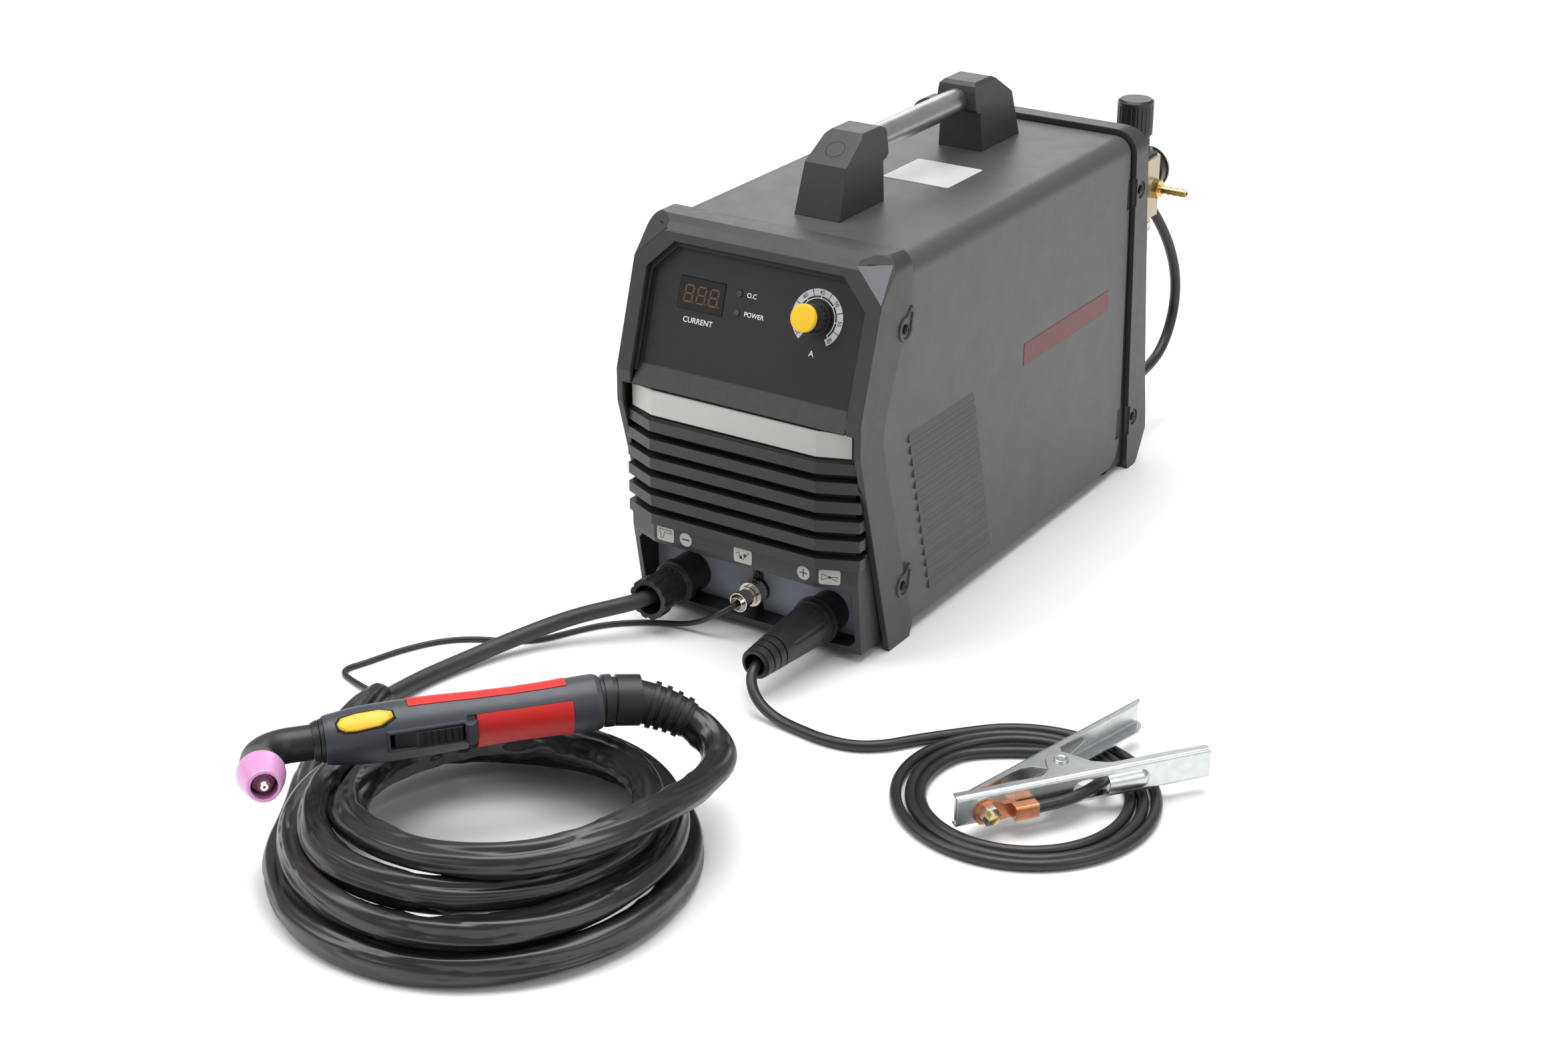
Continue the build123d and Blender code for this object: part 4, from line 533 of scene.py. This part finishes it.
ride(text("label_a", "A", PF, KX, KV - 27.5, 6.6, DEP + 0.06, "print", bold=0.05))
ride(text("label_current", "CURRENT", PF, -50.5, 49.0, 6.2, DEP + 0.06, "print", bold=0.03))
ride(text("label_power", "POWER", PF, -9.8, 62.8, 5.2, DEP + 0.06, "print", align="LEFT", bold=0.03))
ride(text("label_oc", "O.C", PF, -9.8, 77.6, 5.2, DEP + 0.06, "print", align="LEFT", bold=0.03))

# three unlit seven-segment digits behind the window
SEG = []
for d in range(3):
    cx0, cy0 = -62.3 + 11.6 * d, 69.6
    w, h, t = 7.4, 13.0, 1.25
    for (ax, ay, bx_, by_) in ((-w / 2, h / 2, w / 2, h / 2), (-w / 2, 0, w / 2, 0), (-w / 2, -h / 2, w / 2, -h / 2)):
        SEG.append([(cx0 + ax + 0.9, cy0 + ay - t / 2), (cx0 + bx_ - 0.9, cy0 + by_ - t / 2), (cx0 + bx_ - 0.3, cy0 + by_), (cx0 + bx_ - 0.9, cy0 + by_ + t / 2), (cx0 + ax + 0.9, cy0 + ay + t / 2), (cx0 + ax + 0.3, cy0 + ay)])
    for (sx, sy) in ((-1, 1), (1, 1), (-1, -1), (1, -1)):
        x = cx0 + sx * w / 2
        y0, y1 = (0.7, h / 2 - 0.7) if sy > 0 else (-h / 2 + 0.7, -0.7)
        SEG.append([(x - t / 2, cy0 + y0), (x + t / 2, cy0 + y0), (x + t / 2, cy0 + y1), (x - t / 2, cy0 + y1)])
    SEG.append([(cx0 + w / 2 + 1.7 + 0.7 * math.cos(k), cy0 - h / 2 + 0.7 * math.sin(k)) for k in [i * math.pi / 4 for i in range(8)]])
vs, fs = [], []
for s in SEG:
    b = len(vs)
    vs += [PF(x + 0.18 * (y - 69.6) * 0.5, y, -8.52) for (x, y) in s]
    fs.append(tuple(range(b, b + len(s))))
ride(mesh_obj("display_segments", vs, fs, "seg", smooth=False))

# yellow cap on the current knob
kf = Frame3(PF(KX, KV, -8.4), PF.x, PF.y, PN)
cap = lathe("knob_cap", kf, [(17.9, 10.0), (17.9, 10.9), (21.0, 10.9), (21.6, 10.5), (21.8, 9.7), (21.9, 0.0)], "yellow", 72)
ride(cap, "current_knob")

# --------------------------------------------------- facets, stickers, labels
A, B, C = Vector((85.5, -221.3, 323.0)), Vector((110.0, -206.0, 324.2)), Vector((113.0, -229.2, 297.2))
fn = (B - A).cross(C - A).normalized()
if fn.y > 0:
    fn = -fn
for sx, nm in ((1, "r"), (-1, "l")):
    cen = (A + B + C) / 3
    pts = [p + (cen - p) * 0.06 for p in (A, B, C)]
    top = [p + fn * 0.35 for p in pts]
    bot = [p - fn * 0.2 for p in pts]
    if sx < 0:
        top = [Vector((-p.x, p.y, p.z)) for p in top]
        bot = [Vector((-p.x, p.y, p.z)) for p in bot]
    # the right corner facet takes the lighter colour as a painted highlight; the left one keeps the bezel colour
    ride(mesh_obj("corner_facet_%s" % nm, top + bot, [(0, 1, 2), (5, 4, 3), (0, 3, 4, 1), (1, 4, 5, 2), (2, 5, 3, 0)], "facet" if sx > 0 else "bezel", smooth=False))


def sticker(name, fr, w, h, r, icon):
    ride(plate(name, fr, rrect(w, h, r), 0.0, 0.25, "sticker"))
    for i, poly in enumerate(icon):
        ride(plate("%s_ink%d" % (name, i), fr, poly, 0.22, 0.32, "ink"))


def ring_pts(cx, cy, r, n=24):
    return [(cx + r * math.cos(2 * math.pi * i / n), cy + r * math.sin(2 * math.pi * i / n)) for i in range(n)]


def strokes(lines, w):
    # each straight stroke as a thin quad
    out = []
    for (x0, y0, x1, y1) in lines:
        d = Vector((x1 - x0, y1 - y0)).normalized() * (w / 2)
        n = Vector((-d.y, d.x))
        out.append([(x0 - d.x - n.x, y0 - d.y - n.y), (x1 + d.x - n.x, y1 + d.y - n.y), (x1 + d.x + n.x, y1 + d.y + n.y), (x0 - d.x + n.x, y0 - d.y + n.y)])
    return out


def bent(x, z):
    return Frame3((x, -261.25, z), (1, 0, 0), (0, 0, 1), (0, -1, 0))


wing = Vector((30.2, 13.2, 0)).normalized()
sticker("sticker_torch", bent(-65.5, 79.6), 16.5, 12.6, 2.0, strokes([(-5.5, 3.6, 5.5, 3.6), (5.5, 3.6, 5.5, 1.2), (5.5, 1.2, -1.0, 1.2), (-1.0, 1.2, -1.6, -1.6), (-1.6, -1.6, -2.6, -4.0), (-2.6, -4.0, -4.6, -3.8), (-4.6, -3.8, -4.2, -1.2), (-4.2, -1.2, -5.5, 3.6)], 0.55))
sticker("sticker_minus", bent(-45.8, 79.4), 11.6, 11.6, 5.7, strokes([(-2.6, 0, 2.6, 0)], 1.5))
sticker("sticker_switch", bent(9.0, 79.4), 17.0, 12.8, 2.0, strokes([(-5.8, 1.0, -4.2, 2.4), (-4.2, 2.4, -0.6, -3.2), (0.6, -3.2, 1.6, -0.6), (1.6, -0.6, 5.8, 3.4)], 0.6) + [ring_pts(-1.9, -1.6, 1.5), ring_pts(2.0, 0.6, 1.5)])
sticker("sticker_plus", bent(65.6, 79.4), 11.6, 11.6, 5.7, strokes([(-3.0, 0, 3.0, 0), (0, -3.0, 0, 3.0)], 1.0))
wf = Frame3(Vector((86.9, -257.0, 79.4)), wing, (0, 0, 1), (wing.y, -wing.x, 0))
sticker("sticker_clamp", wf, 17.0, 12.6, 2.0, strokes([(-6, 2.6, 0, 0), (0, 0, 6, -3.2), (-6, -2.4, 0, 0), (0, 0, 6, 0.6), (6, 0.6, 6.4, -0.8), (-6, 2.6, -6.2, -2.4)], 0.55) + [ring_pts(0, 0, 1.2)])

for sx, nm in ((1, "r"), (-1, "l")):
    ff = Frame3((sx * 110.5, 0, 0), (0, 1, 0), (0, 0, 1), (sx, 0, 0))
    ride(plate("side_stripe_%s" % nm, ff, [(11, 172), (170, 172), (170, 191.5), (11, 191.5)] if sx > 0 else [(11, 172), (170, 172), (170, 191.5), (11, 191.5)][::-1], -0.1, 0.3, "stripe"))
tf = Frame3((17, 15, 322.5), (1, 0, 0), (0, 1, 0), (0, 0, 1))
ride(plate("top_label", tf, rrect(62, 60, 2.0), -0.1, 0.3, "label"))

# ----------------------------------------------------------------- torch trim
TA = Vector((-64.66, -665.15, 84.0))
tx = Vector((0.6508, 0.7592, 0.0))
ty0 = Vector((-0.7592, 0.6508, 0.0))
r8 = math.radians(-8)
ty = ty0 * math.cos(r8) + Vector((0, 0, 1)) * math.sin(r8)
tz = -ty0 * math.sin(r8) + Vector((0, 0, 1)) * math.cos(r8)
TF = Frame3(TA, tx, ty, tz)
HP = [(0, 16.6), (3, 17.4), (8, 18.0), (18, 19.4), (32, 20.4), (50, 20.6), (80, 20.0), (105, 19.0), (130, 18.5), (155, 18.9), (178, 19.9), (188, 20.0), (191, 19.0), (192, 18.0)]


def hr(s):
    for (a, ra), (b, rb) in zip(HP, HP[1:]):
        if s <= b:
            return ra + (rb - ra) * (s - a) / (b - a)
    return 18.0


def on_handle(s, ang, off):
    # ang in degrees from local +Y towards +Z
    a = math.radians(ang)
    r = hr(s) + off
    return TF(s, r * math.cos(a), r * math.sin(a))


def wrapped(name, outline, off, mat, thick=0.5):
    # a patch that follows the handle; outline in (s, degrees)
    cs = sum(p[0] for p in outline) / len(outline)
    ca = sum(p[1] for p in outline) / len(outline)
    rings = 6
    n = len(outline)
    vs, fs = [], []
    for j in range(rings + 1):
        t = j / rings
        for (s, a) in outline:
            o = off + thick * (1.0 if j > 0 and j < rings else 0.9)
            if j == rings:
                o = off - 0.3
            tt = min(1.0, (j + 0.001) / (rings - 1)) if j < rings else 1.0
            vs.append(on_handle(cs + (s - cs) * tt, ca + (a - ca) * tt, o))
    for j in range(rings):
        for i in range(n):
            k = (i + 1) % n
            fs.append((j * n + i, j * n + k, (j + 1) * n + k, (j + 1) * n + i))
    return mesh_obj(name, vs, fs, mat)


badge = [(9, 128), (12, 116), (22, 112), (38, 112), (46, 120), (47, 132), (38, 146), (22, 150), (14, 148), (10, 140)]
ride(wrapped("torch_badge_rim", [(s + (1.5 if s > 25 else -1.5), a + (4 if a > 130 else -4)) for s, a in badge], 0.05, "black", 0.25))
ride(wrapped("torch_badge", badge, 0.25, "yellow", 0.4))

# gauge face and rim
gf = Frame3((77, 277 + 36.2, 262), (-1, 0, 0), (0, 0, 1), (0, 1, 0))
ride(lathe("gauge_face", gf, [(0.0, 17.5), (0.2, 17.5), (0.3, 0.0)], "white", 48))
ride(lathe("gauge_rim", gf, [(-0.6, 20.6), (1.2, 20.9), (2.4, 20.4), (2.5, 18.2), (1.6, 17.8), (0.2, 17.4)], "white", 64))
for i in range(13):
    a = math.radians(-135 + 270 * i / 12)
    fr = Frame3(gf(14.2 * math.sin(a), 14.2 * math.cos(a), 0), gf.x * math.cos(a) - gf.y * math.sin(a), gf.x * math.sin(a) + gf.y * math.cos(a), gf.z)
    ride(plate("gauge_tick_%d" % i, fr, [(-0.35, -1.6), (0.35, -1.6), (0.35, 1.6), (-0.35, 1.6)], 0.3, 0.4, "ink"))
ride(plate("gauge_needle", Frame3(gf(0, 0, 0.5), gf.x * 0.707 + gf.y * 0.707, gf.x * -0.707 + gf.y * 0.707, gf.z), [(-0.9, -4), (0.9, -4), (0.25, 12.5), (-0.25, 12.5)], 0.0, 0.25, "ink"))

# clamp: thread on the bolt, tubular rivet, copper braid between the jaws
CF = Frame3(C0 + (0,), CX + (0,), (0, 0, 1), (-CY[0], -CY[1], 0))
bp = Frame3(CF(22.5, 20.4, 0), CF.x, CF.y, CF.z)
prof = [(8.5, 4.02)]
for i in range(5):
    prof += [(8.7 + i * 0.8, 4.12), (9.1 + i * 0.8, 3.98)]
prof += [(12.7, 3.99), (12.95, 3.5), (13.0, 0.0)]
ride(lathe("bolt_thread", bp, prof, "yzinc", 40))
rv = Frame3(C0 + (0,), CX + (0,), CY + (0,), (0, 0, 1))
rp = Frame3(rv(90.4, 23.0, 36.7), rv.x, rv.y, rv.z)
ride(lathe("rivet_rim", rp, [(-0.3, 5.3), (0.05, 5.3), (0.45, 4.9), (0.5, 3.6), (0.2, 3.0), (-0.9, 2.6), (-0.9, 0.0)], "zinc", 40))


def braid(name, pts, wid, thick, mat):
    path = even(spline_points(pts, 12), 0.0006)
    ts, ns = frames_along(path)
    vs, fs = [], []
    cols = 26
    acc = 0.0
    for i, (p, t, nn) in enumerate(zip(path, ts, ns)):
        if i:
            acc += (path[i] - path[i - 1]).length
        bn = t.cross(nn).normalized()
        for k in range(cols):
            u = k / (cols - 1) * 2 - 1
            weave = 0.00042 * math.sin(acc / 0.0032 * math.pi + k * 1.25) * math.cos(acc / 0.0032 * math.pi - k * 1.25)
            w_ = wid / 2 * MM * (1 + 0.05 * math.sin(acc * 400))
            h_ = thick / 2 * MM * math.sqrt(max(0.0, 1 - u * u * 0.92))
            vs.append((p + bn * (u * w_) + nn * (h_ + weave)) / MM)
        for k in range(cols):
            u = 1 - k / (cols - 1) * 2
            vs.append((p + bn * (u * wid / 2 * MM) - nn * (thick / 2 * MM * math.sqrt(max(0.0, 1 - u * u * 0.92)))) / MM)
    m_ = cols * 2
    for i in range(len(path) - 1):
        for k in range(m_):
            j = (k + 1) % m_
            fs.append((i * m_ + k, i * m_ + j, (i + 1) * m_ + j, (i + 1) * m_ + k))
    fs.append(tuple(range(m_ - 1, -1, -1)))
    fs.append(tuple(range((len(path) - 1) * m_, len(path) * m_)))
    return mesh_obj(name, vs, fs, mat)


def cq(s_, y_, z_):
    return cw(s_, y_, z_)


ride(braid("jaw_braid", [cq(17, 5.6, 24.0), cq(26, 8.0, 29.5), cq(36, 10.5, 31.0), cq(47, 13.0, 30.0), cq(57, 15.0, 28.6), cq(64, 15.0, 25.5)], 6.4, 2.6, "copper"))

# --------------------------------------------------------- camera and studio
cam_d = bpy.data.cameras.new("camera")
cam = bpy.data.objects.new("camera", cam_d)
scene.collection.objects.link(cam)
cam_d.sensor_width = 36.0
cam_d.lens = 57.52
cam_d.clip_start = 0.05
cam_d.clip_end = 50
cam.location = (1.00092, -1.74276, 0.935)
az, el = math.radians(32.76), math.radians(24.89)
look = Vector((-math.sin(az) * math.cos(el), math.cos(az) * math.cos(el), -math.sin(el)))
cam.rotation_euler = look.to_track_quat("-Z", "Y").to_euler()
scene.camera = cam

floor_m = bpy.data.materials.new("studio_floor")
floor_m.use_nodes = True
fb = floor_m.node_tree.nodes["Principled BSDF"]
fb.inputs["Base Color"].default_value = (0.93, 0.93, 0.93, 1)
fb.inputs["Roughness"].default_value = 0.6
fb.inputs["Specular IOR Level"].default_value = 0.15
fme = bpy.data.meshes.new("studio_floor")
fme.from_pydata([(-14, -14, 0), (14, -14, 0), (14, 14, 0), (-14, 14, 0)], [], [(0, 1, 2, 3)])
fme.materials.append(floor_m)
floor = bpy.data.objects.new("studio_floor", fme)
scene.collection.objects.link(floor)

w = bpy.data.worlds.new("studio")
scene.world = w
w.use_nodes = True
w.node_tree.nodes["Background"].inputs["Color"].default_value = (1, 1, 1, 1)
w.node_tree.nodes["Background"].inputs["Strength"].default_value = 0.42


def area(name, loc, target, size, power, size_y=None):
    l = bpy.data.lights.new(name, "AREA")
    l.energy = power
    l.size = size
    if size_y:
        l.shape = "RECTANGLE"
        l.size_y = size_y
    o = bpy.data.objects.new(name, l)
    scene.collection.objects.link(o)
    o.location = loc
    o.rotation_euler = (Vector(target) - Vector(loc)).to_track_quat("-Z", "Y").to_euler()
    return o


area("key", (-2.4, -2.4, 3.4), (0, -0.2, 0.1), 2.6, 80)
area("fill", (3.0, -0.6, 1.9), (0, 0, 0.2), 1.8, 18)
area("top", (0.0, 0.2, 4.2), (0, 0, 0), 3.6, 190)
area("back", (-1.6, 2.8, 1.5), (0, 0, 0.2), 1.5, 12)
